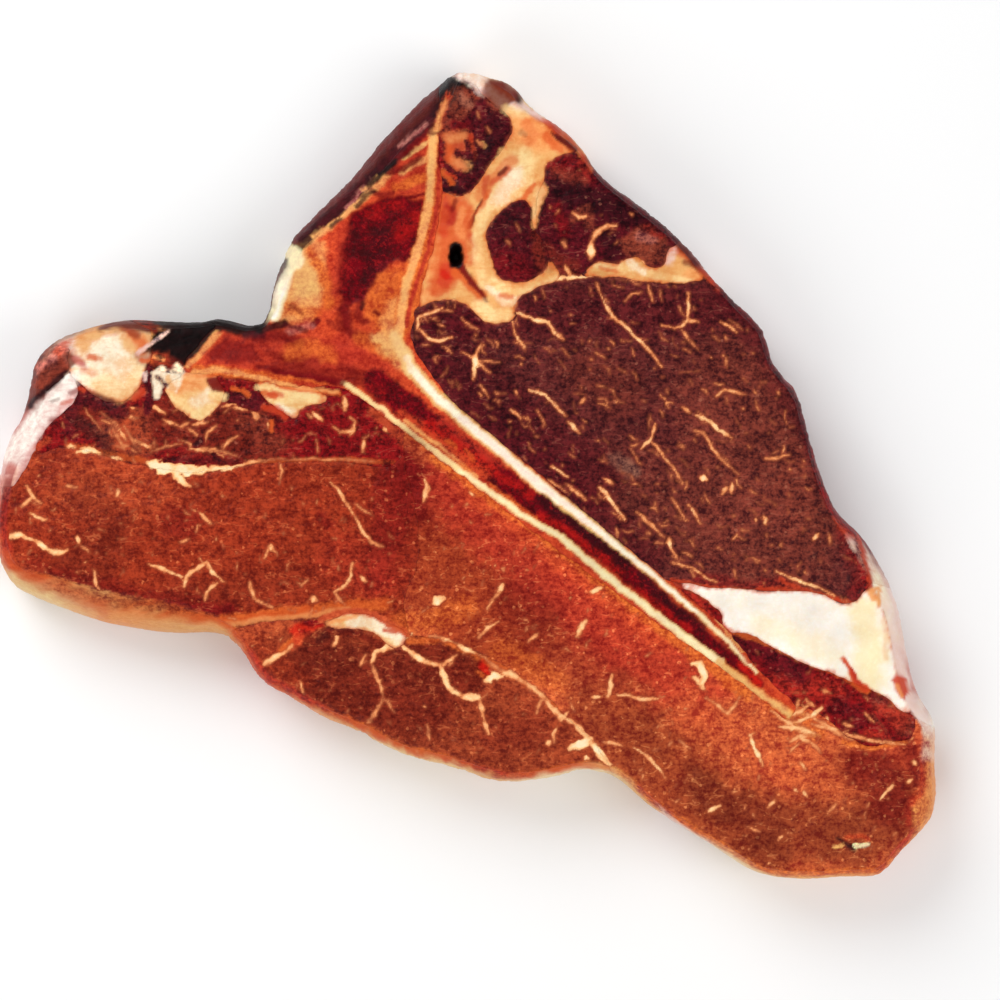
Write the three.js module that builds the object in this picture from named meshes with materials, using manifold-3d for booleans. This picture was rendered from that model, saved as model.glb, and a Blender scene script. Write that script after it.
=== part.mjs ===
// A raw T-bone steak, lying flat with a cut face up.
//
// The steak is one slab with an uneven outline and bulging sides. Seams that run straight
// down through the slab part it into the bone, the muscles and the fat between them.
//
// Millimetres. +Z is up, +X runs along the length of the steak and +Y towards the tip of
// the bone. The origin is under the middle of the steak, on the surface that it rests on.
import * as THREE from 'three';
import { mergeVertices } from 'three/addons/utils/BufferGeometryUtils.js';
import Module from 'manifold-3d';

const wasm = await Module();
wasm.setup();

// ---------------------------------------------------------------- driving dimensions

const LENGTH = 239;         // steak, along X
const WIDTH = 204.5;        // steak, along Y
const THICKNESS = 23.5;     // underside to the cut face, before the muscles swell
const SEAM_GAP = 0.3;       // clear space between two pieces
const EDGE_STEP = 4;        // distance between points along the outer edge
const SEAM_STEP = 3.2;      // distance between points along a seam
const FACE_STEP = 6;        // grid of the cut face

// The side, from the underside up: height, plain inset, share of the rim's width.
// The rim is the part of the side that shows from above, where the side slopes outwards.
const SIDE = [
  [0, 1.6, 0],
  [1.6, 0.5, 0],
  [5, 0, 0],
  [11, 0, 0.05],
  [16, 0, 0.22],
  [20, 0.15, 0.5],
  [22.6, 0.5, 0.84],
  [25, 1.2, 1.12],
  [30, 2.2, 1.4],
];

// The outer edge, clockwise from the tip of the bone: x, y, width of the rim.
const EDGE = [
  [-5, 101, 4], [-1, 102, 1.5], [5, 101, 2], [11.8, 98.8, 2], [15.5, 93.8, 1.5], [23.5, 88, 1.2],
  [30.5, 81, 0.8], [33.5, 76, 0.6], [42, 69, 0.6], [49, 63.5, 0.6], [56, 57, 0.8],
  [61, 51, 0.8], [68.5, 43, 0.8], [75, 36, 0.8], [77.5, 28, 0.8], [83.5, 20.5, 0.8],
  [86, 12, 0.8], [90, -1, 1], [94, -9.5, 1.4], [99.5, -14.5, 3.5], [105.5, -23, 5],
  [110, -34.5, 5], [112, -45, 5], [115, -56, 4.5], [119, -62.5, 4], [119, -74, 4.5],
  [119.5, -84.5, 5], [114, -92, 2.5], [109, -96.5, 2], [105, -101.5, 2], [96, -102, 1.8],
  [83.5, -102.5, 1.8], [73, -101, 1.8], [63.5, -95, 1.6], [56, -90.5, 1.6], [46, -84, 1.6],
  [38, -77, 1.6], [30.5, -75, 1.6], [21, -77, 1.8], [10, -78, 2], [-6.5, -73.5, 2],
  [-16.5, -71, 2], [-28, -65, 2], [-36.5, -61.5, 2], [-44, -57, 1.8], [-52, -52, 1.6],
  [-56, -46, 1.6], [-61, -41, 2.5], [-74, -40.5, 6.5], [-84, -39.5, 7], [-95, -37, 7],
  [-106.5, -33, 7], [-114.5, -29, 6], [-118.5, -22, 4], [-119.5, -11.5, 4], [-119, 1, 6],
  [-116.5, 10, 8], [-113.5, 15, 8], [-111.5, 22, 7], [-109, 30.5, 6], [-103.5, 35, 5],
  [-95, 38, 4], [-86.5, 39.5, 3], [-76.5, 39, 2.5], [-66, 39, 2], [-61.5, 40, 2],
  [-57, 38, 2], [-51.5, 38.5, 1.2], [-50, 42, 1.5], [-49, 48.5, 3], [-45.5, 56.5, 4.5],
  [-38.5, 64.5, 5.5], [-29, 74, 5.5], [-19, 86, 5.5], [-9.5, 96, 5.5],
];

// Swells and dips of the cut face: x, y, half length, half width, turn (degrees), rise.
const SWELLS = [
  [42, 16, 52, 27, -42, 1.8],       // strip loin
  [40, 68, 20, 14, -40, 1.1],       // outer back muscle
  [13, 58, 9, 12, 0, 0.8],          // inner back muscle
  [-4, -55, 38, 15, -22, 1.6],      // tenderloin
  [-62, -18, 46, 20, 0, 1.3],       // wide muscle on the left
  [62, -72, 48, 14, -40, 1.2],      // long muscle, outer end
  [-35, 58, 16, 18, 45, -0.8],      // face of the backbone
  [-66, 34, 12, 6, 0, -2.4],        // dried hollow beside the backbone
  [-108, 6, 10, 34, -12, -1.8],     // left edge
  [104, -40, 9, 26, 15, -1.4],      // right edge
  [84, -38, 24, 8, -12, -0.7],      // fat wedge
];

// A pit in the fat beside the backbone: where a vessel ran.
const PIT = { x: -2.5, y: 54.5, radius: 1.5, stretch: 1.5, depth: 5 };

// ---------------------------------------------------------------- pieces

// Each piece is what its outline takes from the slab that the pieces before it left, so
// only the stretches that border on later pieces follow a real seam. Points are x, y.
const PIECES = [
  { name: 't_bone', color: 0xe8a87c, roughness: 0.55, outline: [
    [-4.5, 103.5], [-4, 97], [-6, 91], [-7, 82], [-6, 71], [-7, 62], [-9.5, 53],
    [-12, 43.5], [-14, 35], [-12.5, 30], [-9.5, 26], [-5, 19.5], [7, 9.5], [25, -5.5],
    [45, -22.3], [56, -31], [66.7, -40.7], [71, -46.3], [77, -53], [83, -58], [81, -61],
    [73.5, -55.5], [63, -47.5],
    [45, -35], [5, -5], [-12, 8], [-23.5, 17], [-31.5, 22], [-41.5, 22], [-53, 23.5],
    [-65, 25.5], [-71, 26], [-68.5, 30.5], [-62.5, 37], [-56.5, 36], [-51, 37],
    [-54, 41], [-52, 52], [-46, 64], [-18.5, 96]] },
  { name: 'tip_muscle', color: 0x45101c, roughness: 0.45, outline: [
    [-3.5, 97], [1, 98.5], [4.5, 94.5], [11.5, 88], [11.5, 85.5], [7, 79], [3.5, 74],
    [-1, 69], [-4, 70], [-7.5, 73.5], [-9, 86], [-7, 93.5]] },
  { name: 'inner_back_muscle', color: 0x451018, roughness: 0.42, outline: [
    [5, 61], [8, 65], [14.5, 69], [16.5, 67], [17, 60.5], [20, 57], [21, 53],
    [18, 49.5], [12, 48], [8, 50], [6, 56]] },
  { name: 'outer_back_muscle', color: 0x45101a, roughness: 0.42, outline: [
    [20, 74.5], [20, 78], [25, 80], [30, 81], [36.5, 83.5], [58.5, 63.5], [59, 57],
    [53, 57.5], [50, 56], [50, 52], [47, 51.5], [42, 55], [39, 53], [32, 53],
    [30.5, 51], [24, 50], [21, 55], [18.5, 60.5], [18, 68.5]] },
  { name: 'strip_loin', color: 0x5c2320, roughness: 0.42, outline: [
    [-14.5, 32], [-13.5, 39], [-10.5, 42.5], [-3, 43.5], [0.5, 42], [4, 38],
    [11.5, 38], [13.5, 40], [11.5, 42], [20, 47.5], [27, 49.5], [38.5, 49],
    [48.5, 47.5], [58.5, 48], [66, 47], [91, 23.5], [101, -11.5], [100, -19.5],
    [102, -26], [100, -29], [96, -32.5], [86.5, -29], [76, -29], [62, -28],
    [54, -26.8], [47, -25.5], [33.5, -16.5], [3.5, 8.5]] },
  { name: 'upper_fat', color: 0xf6dcae, roughness: 0.5, outline: [
    [-7.5, 104], [13.5, 103], [38.5, 84], [36, 70], [24, 54], [22.5, 44], [18.5, 32],
    [-9, 32], [-15, 36]] },
  { name: 'back_seam_fat', color: 0xf0c890, roughness: 0.5, outline: [
    [20, 54], [40, 62], [62, 60], [75, 43.5], [60, 40], [20, 42]] },
  { name: 'sliver_muscle', color: 0x7a201c, roughness: 0.45, outline: [
    [50, -27.5], [54.8, -28.8], [58.5, -30.5], [61.5, -32.5], [63.8, -35], [64.5, -37.5],
    [61, -38], [54, -33]] },
  { name: 'fat_wedge', color: 0xfaf0e0, roughness: 0.5, outline: [
    [48.5, -21.5], [58.5, -21.5], [99, -21.5], [95.5, -9], [103.5, -9], [123.5, -56.5],
    [116.5, -60.5], [110, -59.5], [107, -57], [104.5, -55], [99, -53], [95, -51],
    [86.5, -48], [75, -42], [71, -39.3], [67, -39.5], [64.8, -37.8], [60, -38],
    [50, -30]] },
  { name: 'flank_muscle', color: 0x6e1a16, roughness: 0.45, outline: [
    [66, -37], [83.5, -41.5], [108.5, -51.5], [112, -59.5], [112, -65.5],
    [106, -67], [101, -68], [94, -64.5], [89, -60], [77, -55.5], [68, -47]] },
  { name: 'seam_fat', color: 0xf8e0b4, roughness: 0.5, outline: [
    [-36, -37.5], [-30, -35], [-24.5, -35], [-20, -37], [-15, -40], [-16, -43.5],
    [-19.5, -42.5], [-23.5, -39], [-30, -38.5]] },
  { name: 'tenderloin', color: 0x6b2a1a, roughness: 0.42, outline: [
    [-62.5, -41.5], [-51, -37], [-35, -36.5], [-24.5, -36.5], [-17, -40],
    [-6.5, -41], [4, -45], [18.5, -54], [25, -60.5], [31.5, -66.5], [35, -72],
    [37.5, -81.5], [8.5, -85], [-34, -71.5], [-60, -54]] },
  { name: 'left_fat_pad', color: 0xf3d3a0, roughness: 0.5, outline: [
    [-99, 32], [-97, 38.5], [-89, 42], [-81.5, 43], [-79, 30.5], [-81, 24.5],
    [-82, 21], [-86.5, 18], [-93.5, 20.5], [-99.5, 27]] },
  { name: 'left_fat_island', color: 0xf6dcae, roughness: 0.5, outline: [
    [-76, 21.5], [-72, 24], [-65, 26], [-60, 20], [-63, 17], [-64.5, 14],
    [-69, 14], [-73, 18]] },
  { name: 'right_fat_island', color: 0xf6dcae, roughness: 0.5, outline: [
    [-52.5, 24.5], [-41.5, 22.5], [-34, 18.5], [-37, 17.5], [-41.5, 17.5], [-42, 13],
    [-45.5, 15.5], [-51, 19.5]] },
  { name: 'dried_tissue', color: 0x2a0b0c, roughness: 0.6, outline: [
    [-79, 35], [-81.5, 43], [-51, 43.5], [-49.5, 36], [-56.5, 32], [-65, 28],
    [-68.5, 25.5], [-79, 27], [-81, 30.5]] },
  { name: 'left_membrane', color: 0xa85a34, roughness: 0.5, outline: [
    [-99, 36], [-97.5, 31], [-100, 25.5], [-105, 21], [-111, 15.5], [-116.5, 10.5],
    [-123, 10], [-118.5, 33.5], [-106.5, 39.5]] },
  { name: 'left_silverskin', color: 0xe8bfae, roughness: 0.42, outline: [
    [-101, 26], [-97, 20.5], [-101, 15.5], [-105.5, 12], [-108, 6.5], [-111.5, 0.5],
    [-116, -6], [-124, -9], [-124, 12], [-116.5, 13], [-109, 20]] },
  { name: 'upper_band_muscle', color: 0x6a1c16, roughness: 0.42, outline: [
    [-101.5, 43], [-45, 43], [-26.5, 30], [-16, 11], [-17, 3], [-34, 3.5],
    [-51, 3], [-66.5, 0.5], [-79, 2], [-87, 4], [-100, 7], [-109, 6]] },
  { name: 'left_eye_muscle', color: 0x8a3420, roughness: 0.42, outline: [
    [-124, 8.5], [-86.5, 8.5], [-18, 9], [-14.5, -1.5], [-12, -14], [-12, -21.5],
    [-15.5, -31], [-15, -44], [-35, -42], [-51, -43], [-60, -48], [-91.5, -46.5],
    [-124, -41.5]] },
];
const LAST_PIECE = { name: 'long_band_muscle', color: 0xa83e22, roughness: 0.42 };

// ---------------------------------------------------------------- shapes

// Evenly spaced points on a smooth closed curve through the given ones.
function smoothLoop(points, step) {
  const corners = points.map(([x, y, rim = 0]) => new THREE.Vector3(x, y, rim));
  const curve = new THREE.CatmullRomCurve3(corners, true, 'centripetal');
  return curve.getSpacedPoints(Math.round(curve.getLength() / step)).slice(0, -1);
}

// Directions into a loop, one for each point, from the points on either side of it.
function inwardDirections(loop) {
  const side = THREE.ShapeUtils.isClockWise(loop) ? 1 : -1;
  return loop.map((_, i) => {
    const before = loop.at(i - 1);
    const after = loop[(i + 1) % loop.length];
    return new THREE.Vector2(after.y - before.y, before.x - after.x)
      .normalize()
      .multiplyScalar(side);
  });
}

function solid(geometry) {
  geometry.deleteAttribute('normal');
  geometry.deleteAttribute('uv');
  const merged = mergeVertices(geometry);
  return new wasm.Manifold(new wasm.Mesh({
    numProp: 3,
    vertProperties: new Float32Array(merged.attributes.position.array),
    triVerts: new Uint32Array(merged.index.array),
  }));
}

// A column with a loop as its section, standing through the slab.
function column(outline, grow) {
  const loop = smoothLoop(outline, SEAM_STEP);
  const inward = inwardDirections(loop);
  const section = loop.map((p, i) => new THREE.Vector2(p.x, p.y).addScaledVector(inward[i], -grow));
  const margin = THICKNESS / 2;
  const geometry = new THREE.ExtrudeGeometry(new THREE.Shape(section), {
    depth: THICKNESS + 2 * margin,
    bevelEnabled: false,
  });
  return solid(geometry.translate(0, 0, -margin));
}

// The slab's sides: the outer edge drawn up level by level, each ring set in by the side's
// profile.
function sides() {
  const edge = smoothLoop(EDGE, EDGE_STEP);
  const inward = inwardDirections(edge);
  const key = (x, y) => `${Math.fround(x)} ${Math.fround(y)}`;
  const places = new Map(edge.map((p, i) => [key(p.x, p.y), i]));
  const levels = SIDE.length - 1;
  const geometry = new THREE.ExtrudeGeometry(
    new THREE.Shape(edge.map((p) => new THREE.Vector2(p.x, p.y))),
    { depth: levels, steps: levels, bevelEnabled: false },
  );
  const position = geometry.attributes.position;
  for (let v = 0; v < position.count; v++) {
    const i = places.get(key(position.getX(v), position.getY(v)));
    const [height, inset, share] = SIDE[Math.round(position.getZ(v))];
    const move = inset + share * edge[i].z;
    position.setXYZ(v, edge[i].x + move * inward[i].x, edge[i].y + move * inward[i].y, height);
  }
  return solid(geometry);
}

// Height of the cut face.
function faceHeight(x, y) {
  const rises = SWELLS.map(([cx, cy, halfLength, halfWidth, turn, rise]) => {
    const offset = new THREE.Vector2(x - cx, y - cy)
      .rotateAround(new THREE.Vector2(), -THREE.MathUtils.degToRad(turn));
    return rise * Math.exp(-((offset.x / halfLength) ** 2) - (offset.y / halfWidth) ** 2);
  });
  return THICKNESS + rises.reduce((sum, rise) => sum + rise, 0);
}

// The space over the slab: a block whose underside has the swells of the cut face.
function spaceAbove() {
  const margin = 10;
  const length = LENGTH + margin;
  const width = WIDTH + margin;
  const geometry = new THREE.BoxGeometry(length, width, THICKNESS,
    Math.round(length / FACE_STEP), Math.round(width / FACE_STEP), 1);
  const position = geometry.attributes.position;
  for (let v = 0; v < position.count; v++) {
    const isUnderside = position.getZ(v) < 0;
    const height = isUnderside ? faceHeight(position.getX(v), position.getY(v)) : 2 * THICKNESS;
    position.setZ(v, height);
  }
  return solid(geometry);
}

function pit() {
  const geometry = new THREE.CylinderGeometry(PIT.radius * 1.2, PIT.radius * 0.6, 2 * PIT.depth, 14);
  geometry.rotateX(Math.PI / 2);
  geometry.scale(1, PIT.stretch, 1);
  return solid(geometry.translate(PIT.x, PIT.y, faceHeight(PIT.x, PIT.y)));
}

// ---------------------------------------------------------------- assembly

const largestBody = (shape) => shape.decompose().sort((a, b) => b.volume() - a.volume())[0];

function mesh(shape, { name, color, roughness }) {
  const { vertProperties, triVerts } = largestBody(shape).getMesh();
  const geometry = new THREE.BufferGeometry();
  geometry.setAttribute('position', new THREE.BufferAttribute(vertProperties, 3));
  geometry.setIndex(new THREE.BufferAttribute(triVerts, 1));
  const material = new THREE.MeshStandardMaterial({ color, roughness, metalness: 0 });
  const piece = new THREE.Mesh(geometry, material);
  piece.name = name;
  return piece;
}

const steak = new THREE.Group();
let slab = sides().subtract(spaceAbove()).subtract(pit());
for (const piece of PIECES) {
  steak.add(mesh(slab.intersect(column(piece.outline, 0)), piece));
  slab = slab.subtract(column(piece.outline, SEAM_GAP));
}
steak.add(mesh(slab, LAST_PIECE));

export default steak;
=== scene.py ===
import math
from functools import lru_cache
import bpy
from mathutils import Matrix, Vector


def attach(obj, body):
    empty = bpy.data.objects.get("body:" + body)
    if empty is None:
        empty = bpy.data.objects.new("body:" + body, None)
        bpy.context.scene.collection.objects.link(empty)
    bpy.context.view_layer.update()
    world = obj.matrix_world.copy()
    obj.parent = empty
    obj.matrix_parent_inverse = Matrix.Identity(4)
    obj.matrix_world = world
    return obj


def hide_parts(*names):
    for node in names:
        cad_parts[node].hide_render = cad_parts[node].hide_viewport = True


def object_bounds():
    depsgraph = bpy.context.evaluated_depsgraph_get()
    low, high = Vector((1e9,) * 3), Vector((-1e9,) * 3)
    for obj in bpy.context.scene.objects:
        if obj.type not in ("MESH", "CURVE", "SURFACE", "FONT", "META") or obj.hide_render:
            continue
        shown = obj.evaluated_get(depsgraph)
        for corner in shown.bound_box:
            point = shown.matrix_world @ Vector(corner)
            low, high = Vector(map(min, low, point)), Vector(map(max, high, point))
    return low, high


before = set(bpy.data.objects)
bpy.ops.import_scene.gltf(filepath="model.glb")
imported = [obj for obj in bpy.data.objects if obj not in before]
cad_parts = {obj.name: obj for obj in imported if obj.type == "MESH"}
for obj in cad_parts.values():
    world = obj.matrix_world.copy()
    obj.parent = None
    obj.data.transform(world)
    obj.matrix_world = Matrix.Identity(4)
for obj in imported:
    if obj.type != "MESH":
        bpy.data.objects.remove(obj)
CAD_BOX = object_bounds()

from types import SimpleNamespace

import bmesh
import bpy
import numpy as np
from bpy.props import FloatProperty, FloatVectorProperty, IntProperty, PointerProperty
from mathutils import Matrix, Vector
from mathutils.bvhtree import BVHTree
from mathutils.kdtree import KDTree

bl_info = {
    "name": "Raw T-bone steak",
    "version": (1, 0, 0),
    "blender": (4, 5, 0),
    "location": "View3D > Sidebar > Steak",
    "description": "Dresses the solids of a raw T-bone steak with cut meat, fat, bone and skin",
    "category": "Object",
}

# The steak is one sheet of small square cells that is cut into pieces along the seams of the
# solid model. Every piece is its own closed body: its part of the sheet is extruded down to
# the underside, and neighbours share the points of their seam. Lengths are in millimetres
# until a piece is placed in the frame. Each kind of unevenness has a seed of its own.

MM = 0.001
NODE_NAMES = sorted(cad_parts)
OUTSIDE = -1                # label of a cell beyond the steak's edge
UNKNOWN = -2                # label of a cell over the gap between two solids
RAY_START = 60.0            # height that a ray falls from
FACE_SLOPE = 0.88           # upward part of a face's normal, above which it is cut face, not side
LOWEST_FACE = 20.5          # the cut face is nowhere lower, apart from the vessel's pit
SPOKES = 3600               # directions from the middle in which the side is measured
SIDE_RINGS = 48             # heights in the table of the side
SIDE_REACH = 170.0          # distance that a ray towards the side starts from
# Heights at which the side is measured: closer together where it curves in.
SIDE_HEIGHTS = np.array([0.05, 0.8, 1.6, 3, 5, 8, 11, 13.5, 16, 18, 20, 21.3, 22.4, 23.4])
TOP_MARGIN = 0.8            # measured heights this close to the brink are left out
SEARCH_STEP = 0.1           # step inwards in the search for the brink
GAP_REACH = 5               # half the number of directions that a gap between solids may span
SIDE_BLUR = 4               # directions that the side is smoothed over
BRINK_BLUR = 8              # directions that the brink's height is smoothed over
MEAN_RADIUS = 90.0          # turns an angle round the steak into a length along its side
SEAM_WANDER = 0.42          # how far a seam wanders from the solid's
FACE_BLUR = 4               # cells that the height of the cut face is smoothed over
GROOVE_BLUR = 1.1           # cells that the groove along a seam is smoothed over
STEP_BLUR = 1.5             # cells over which a piece's step above its neighbour is smoothed
SHADE_BLUR = 3              # cells that the colour of the meat is smoothed over
FAT_BLUR = 2.5              # cells that the border of the fat is smoothed over
SOME_CELLS = 1e-3           # keeps a smoothed count of cells away from zero
EDGE_BAND = 12.0            # breadth of the band in which the distance from the edge is measured
FAR_FROM_EDGE = 9.0         # stands for the distance of every other place
PINCH_ROUNDS = 20           # most rounds that the widening of pinched places takes
NO_STRAND_NEAR = 2.0        # stands for every longer distance from the strands of fat
MIDDLE_TONE = 0.5           # tone where no strand is near
PIT = (-2.5, 54.5)          # where the vessel opens in the fat beside the bone
PIT_DEPTH = 4.5
CANAL_DEPTH = 0.45          # of the marrow in the stem
HOLLOW_DEPTH = 0.4          # of the marrow in the hollow face
WALL_RISE = 0.22            # the bone's pale walls stand proud by this
BONE_EDGE = (92, 97, 125, 131)      # directions in degrees between which the bone's rough edge stands out
BONE_EDGE_OUT = 1.5                 # and how far
DOWN = Vector((0, 0, -1))

# Marks on the cut face are listed in steps of a quarter millimetre, counted to the right and
# down from the corner of a square layout sheet that the steak's middle has this place on.
LAYOUT_STEP = 0.25
LAYOUT_MIDDLE = (466, 474)


def on_steak(route):
    """Turns a route in layout steps, across and down by turns, as numbers or text, into points."""
    numbers = route.replace(",", " ").split() if isinstance(route, str) else route
    steps = np.array(numbers, float).reshape(-1, 2)
    return (steps - LAYOUT_MIDDLE) * (LAYOUT_STEP, -LAYOUT_STEP)


# ---------------------------------------------------------------- settings


def colour(title, about, red, green, blue):
    """A colour property whose default is given in screen values from 0 to 255, by the sRGB curve."""
    screen = np.array((red, green, blue)) / 255
    linear = np.where(screen > 0.04045, ((screen + 0.055) / 1.055) ** 2.4, screen / 12.92)
    return FloatVectorProperty(name=title, description=about, subtype="COLOR", size=3, min=0, max=1,
                               default=[float(part) for part in linear])


class SteakColours(bpy.types.PropertyGroup):
    """Colours that the pieces are painted with."""

    wine: colour("Wine", "Middle of the strip loin", 80, 26, 27)
    rosewood: colour("Rosewood", "Right side of the strip loin", 108, 42, 34)
    plum: colour("Plum", "Back muscles and the strip loin's edge", 74, 8, 18)
    night: colour("Night", "Darkest dried meat", 38, 4, 12)
    umber: colour("Umber", "Dull dry patches", 116, 44, 32)
    garnet: colour("Garnet", "Dark red meat near the backbone", 116, 10, 14)
    brick: colour("Brick", "Long muscle beside the bone", 180, 46, 32)
    rust: colour("Rust", "Long muscle towards its outer end", 200, 80, 46)
    cocoa: colour("Cocoa", "Brown meat in the shade", 98, 26, 17)
    chestnut: colour("Chestnut", "Wide muscle on the left", 146, 42, 22)
    liver: colour("Liver", "Tenderloin, upper left", 112, 27, 16)
    sienna: colour("Sienna", "Tenderloin, lower right", 148, 53, 30)
    marrow: colour("Marrow", "Marrow in the bone", 108, 0, 12)
    scarlet: colour("Scarlet", "Fresh blood", 200, 24, 12)
    ember: colour("Ember", "Red bone", 204, 66, 36)
    orange: colour("Orange", "Stained fat and bone", 216, 94, 40)
    apricot: colour("Apricot", "Warm fat", 238, 160, 96)
    gold: colour("Gold", "Golden fat", 230, 172, 106)
    cream: colour("Cream", "Pale golden fat", 244, 210, 148)
    straw: colour("Straw", "Yellowish pale fat", 247, 228, 182)
    ivory: colour("Ivory", "Compact bone", 250, 236, 208)
    chalk: colour("Chalk", "Near-white fat", 251, 242, 230)
    blush: colour("Blush", "Pinkish silverskin", 238, 205, 196)
    mauve: colour("Mauve", "Silverskin over red meat", 196, 112, 104)
    smoke: colour("Smoke", "Grey-brown membrane", 146, 104, 90)
    tar: colour("Tar", "Black dried tissue", 14, 3, 4)


class SteakSizes(bpy.types.PropertyGroup):
    """Sizes of the fine shape."""

    cell: FloatProperty(name="Cell", description="Side of a cell of the sheet that the pieces are cut from",
                        default=0.4 * MM, min=0.3 * MM, max=2 * MM, precision=5, unit="LENGTH")
    rounding: FloatProperty(name="Rounding", description="Radius of the edge between cut face and side",
                            default=1.1 * MM, min=0.2 * MM, max=3 * MM, precision=5, unit="LENGTH")
    groove: FloatProperty(name="Groove", description="Depth of the groove along a seam",
                          default=0.15 * MM, min=0, max=1 * MM, precision=5, unit="LENGTH")
    lumps: FloatProperty(name="Lumps", description="Height of the unevenness of the cut face",
                         default=0.16 * MM, min=0, max=1 * MM, precision=5, unit="LENGTH")
    side_lumps: FloatProperty(name="Side lumps", description="Height of the unevenness of the side",
                              default=0.35 * MM, min=0, max=1 * MM, precision=5, unit="LENGTH")
    side_steps: IntProperty(name="Side steps", description="Rings of faces between the two cut faces",
                            default=24, min=4, max=48)


def sizes():
    """The sizes in millimetres."""
    given = bpy.context.scene.steak_sizes
    return SimpleNamespace(cell=given.cell / MM, rounding=given.rounding / MM, groove=given.groove / MM,
                           lumps=given.lumps / MM, side_lumps=given.side_lumps / MM,
                           side_steps=given.side_steps)


def paint(name):
    """A named colour as linear red, green and blue."""
    return np.array(getattr(bpy.context.scene.steak_colours, name))


# ---------------------------------------------------------------- unevenness


GRAIN_SIZE = 1024           # side of a table of random heights


@lru_cache(maxsize=None)
def grain_table(seed):
    """A table of random heights between -1 and 1."""
    return np.random.default_rng(seed).uniform(-1, 1, (GRAIN_SIZE, GRAIN_SIZE))


def grain(x, y, size, seed, turn=0.6):
    """Smooth seeded unevenness between -1 and 1, in lumps about size millimetres wide."""
    table = grain_table(seed)
    across = (x * math.cos(turn) - y * math.sin(turn)) / size + GRAIN_SIZE / 2
    along = (x * math.sin(turn) + y * math.cos(turn)) / size + GRAIN_SIZE / 2
    column, row = np.floor(across).astype(int), np.floor(along).astype(int)
    right, up = across - column, along - row
    right, up = right * right * (3 - 2 * right), up * up * (3 - 2 * up)
    column, row = column % GRAIN_SIZE, row % GRAIN_SIZE
    next_column, next_row = (column + 1) % GRAIN_SIZE, (row + 1) % GRAIN_SIZE
    low = table[row, column] * (1 - right) + table[row, next_column] * right
    high = table[next_row, column] * (1 - right) + table[next_row, next_column] * right
    return low * (1 - up) + high * up


def layered_grain(x, y, size, seed):
    """Unevenness of size millimetres with two finer layers on it."""
    coarse = grain(x, y, size, seed)
    finer = 0.5 * grain(x, y, size / 2, seed + 1, turn=1.7)
    finest = 0.25 * grain(x, y, size / 4, seed + 2, turn=2.9)
    return (coarse + finer + finest) / 1.5


def smoothstep(low, high, value):
    """Rises smoothly from 0 at low to 1 at high."""
    share = np.clip((value - low) / (high - low), 0, 1)
    return share * share * (3 - 2 * share)


def blurred(table, reach):
    """The table smoothed by a bell curve that is reach cells wide."""
    rows = np.fft.fftfreq(table.shape[0])[:, None]
    columns = np.fft.rfftfreq(table.shape[1])[None]
    bell = np.exp(-2 * (math.pi * reach) ** 2 * (rows ** 2 + columns ** 2))
    return np.fft.irfft2(np.fft.rfft2(table) * bell, table.shape)


def blurred_round(ring, reach):
    """Each row of the table smoothed along its length, whose ends meet."""
    bell = np.exp(-2 * (math.pi * reach * np.fft.rfftfreq(ring.shape[-1])) ** 2)
    return np.fft.irfft(np.fft.rfft(ring) * bell, ring.shape[-1])


def without_dents(ring, reach):
    """Each row with the dents narrower than twice reach filled: they are gaps between solids."""
    for pick in (np.max, np.min):
        ring = pick([np.roll(ring, step, -1) for step in range(-reach, reach + 1)], axis=0)
    return ring


# ---------------------------------------------------------------- the sheet


@lru_cache(maxsize=None)
def cad_surface():
    """A search tree over the faces of all the solids, and the number of each face's node."""
    corners, faces, owners = [], [], []
    for number, name in enumerate(NODE_NAMES):
        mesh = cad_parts[name].data
        first = len(corners)
        corners += [vertex.co / MM for vertex in mesh.vertices]
        faces += [[first + corner for corner in face.vertices] for face in mesh.polygons]
        owners += [number] * len(mesh.polygons)
    return BVHTree.FromPolygons(corners, faces), owners


def measure_side():
    """Measures the side from outside: the directions, its radius by height, and its upper brink."""
    tree, _ = cad_surface()
    turns = np.arange(SPOKES) * 2 * math.pi / SPOKES
    radius = np.full((len(SIDE_HEIGHTS), SPOKES), np.nan)
    brink = np.zeros(SPOKES)
    for spoke, turn in enumerate(turns):
        out = Vector((math.cos(turn), math.sin(turn), 0))
        for level, height in enumerate(SIDE_HEIGHTS):
            found = tree.ray_cast(out * SIDE_REACH + Vector((0, 0, height)), -out)[0]
            if found:
                radius[level, spoke] = found.xy.length
        reach = np.nanmax(radius[:, spoke])
        while reach > 0:
            found, normal, _, _ = tree.ray_cast(out * reach + Vector((0, 0, RAY_START)), DOWN)
            if found and normal.z > FACE_SLOPE:
                break
            reach -= SEARCH_STEP
        brink[spoke] = reach
    degrees = np.degrees(turns)
    stands_out = BONE_EDGE_OUT * (smoothstep(*BONE_EDGE[:2], degrees) - smoothstep(*BONE_EDGE[2:], degrees))
    smooth_brink = blurred_round(without_dents(brink, GAP_REACH), SIDE_BLUR)
    return turns, radius + stands_out, smooth_brink + stands_out


def side_table(radius, brink, brink_height):
    """The side's radius for even shares of the height, from the underside up to the brink."""
    table = np.zeros((SIDE_RINGS + 1, SPOKES))
    shares = np.linspace(0, 1, SIDE_RINGS + 1)
    for spoke in range(SPOKES):
        top = brink_height[spoke]
        below = (SIDE_HEIGHTS < top - TOP_MARGIN) & ~np.isnan(radius[:, spoke])
        known_heights = np.append(SIDE_HEIGHTS[below], top)
        known_radii = np.append(np.maximum(radius[below, spoke], brink[spoke]), brink[spoke])
        table[:, spoke] = np.interp(shares * top, known_heights, known_radii)
    return blurred_round(without_dents(table, GAP_REACH), SIDE_BLUR)


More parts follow.
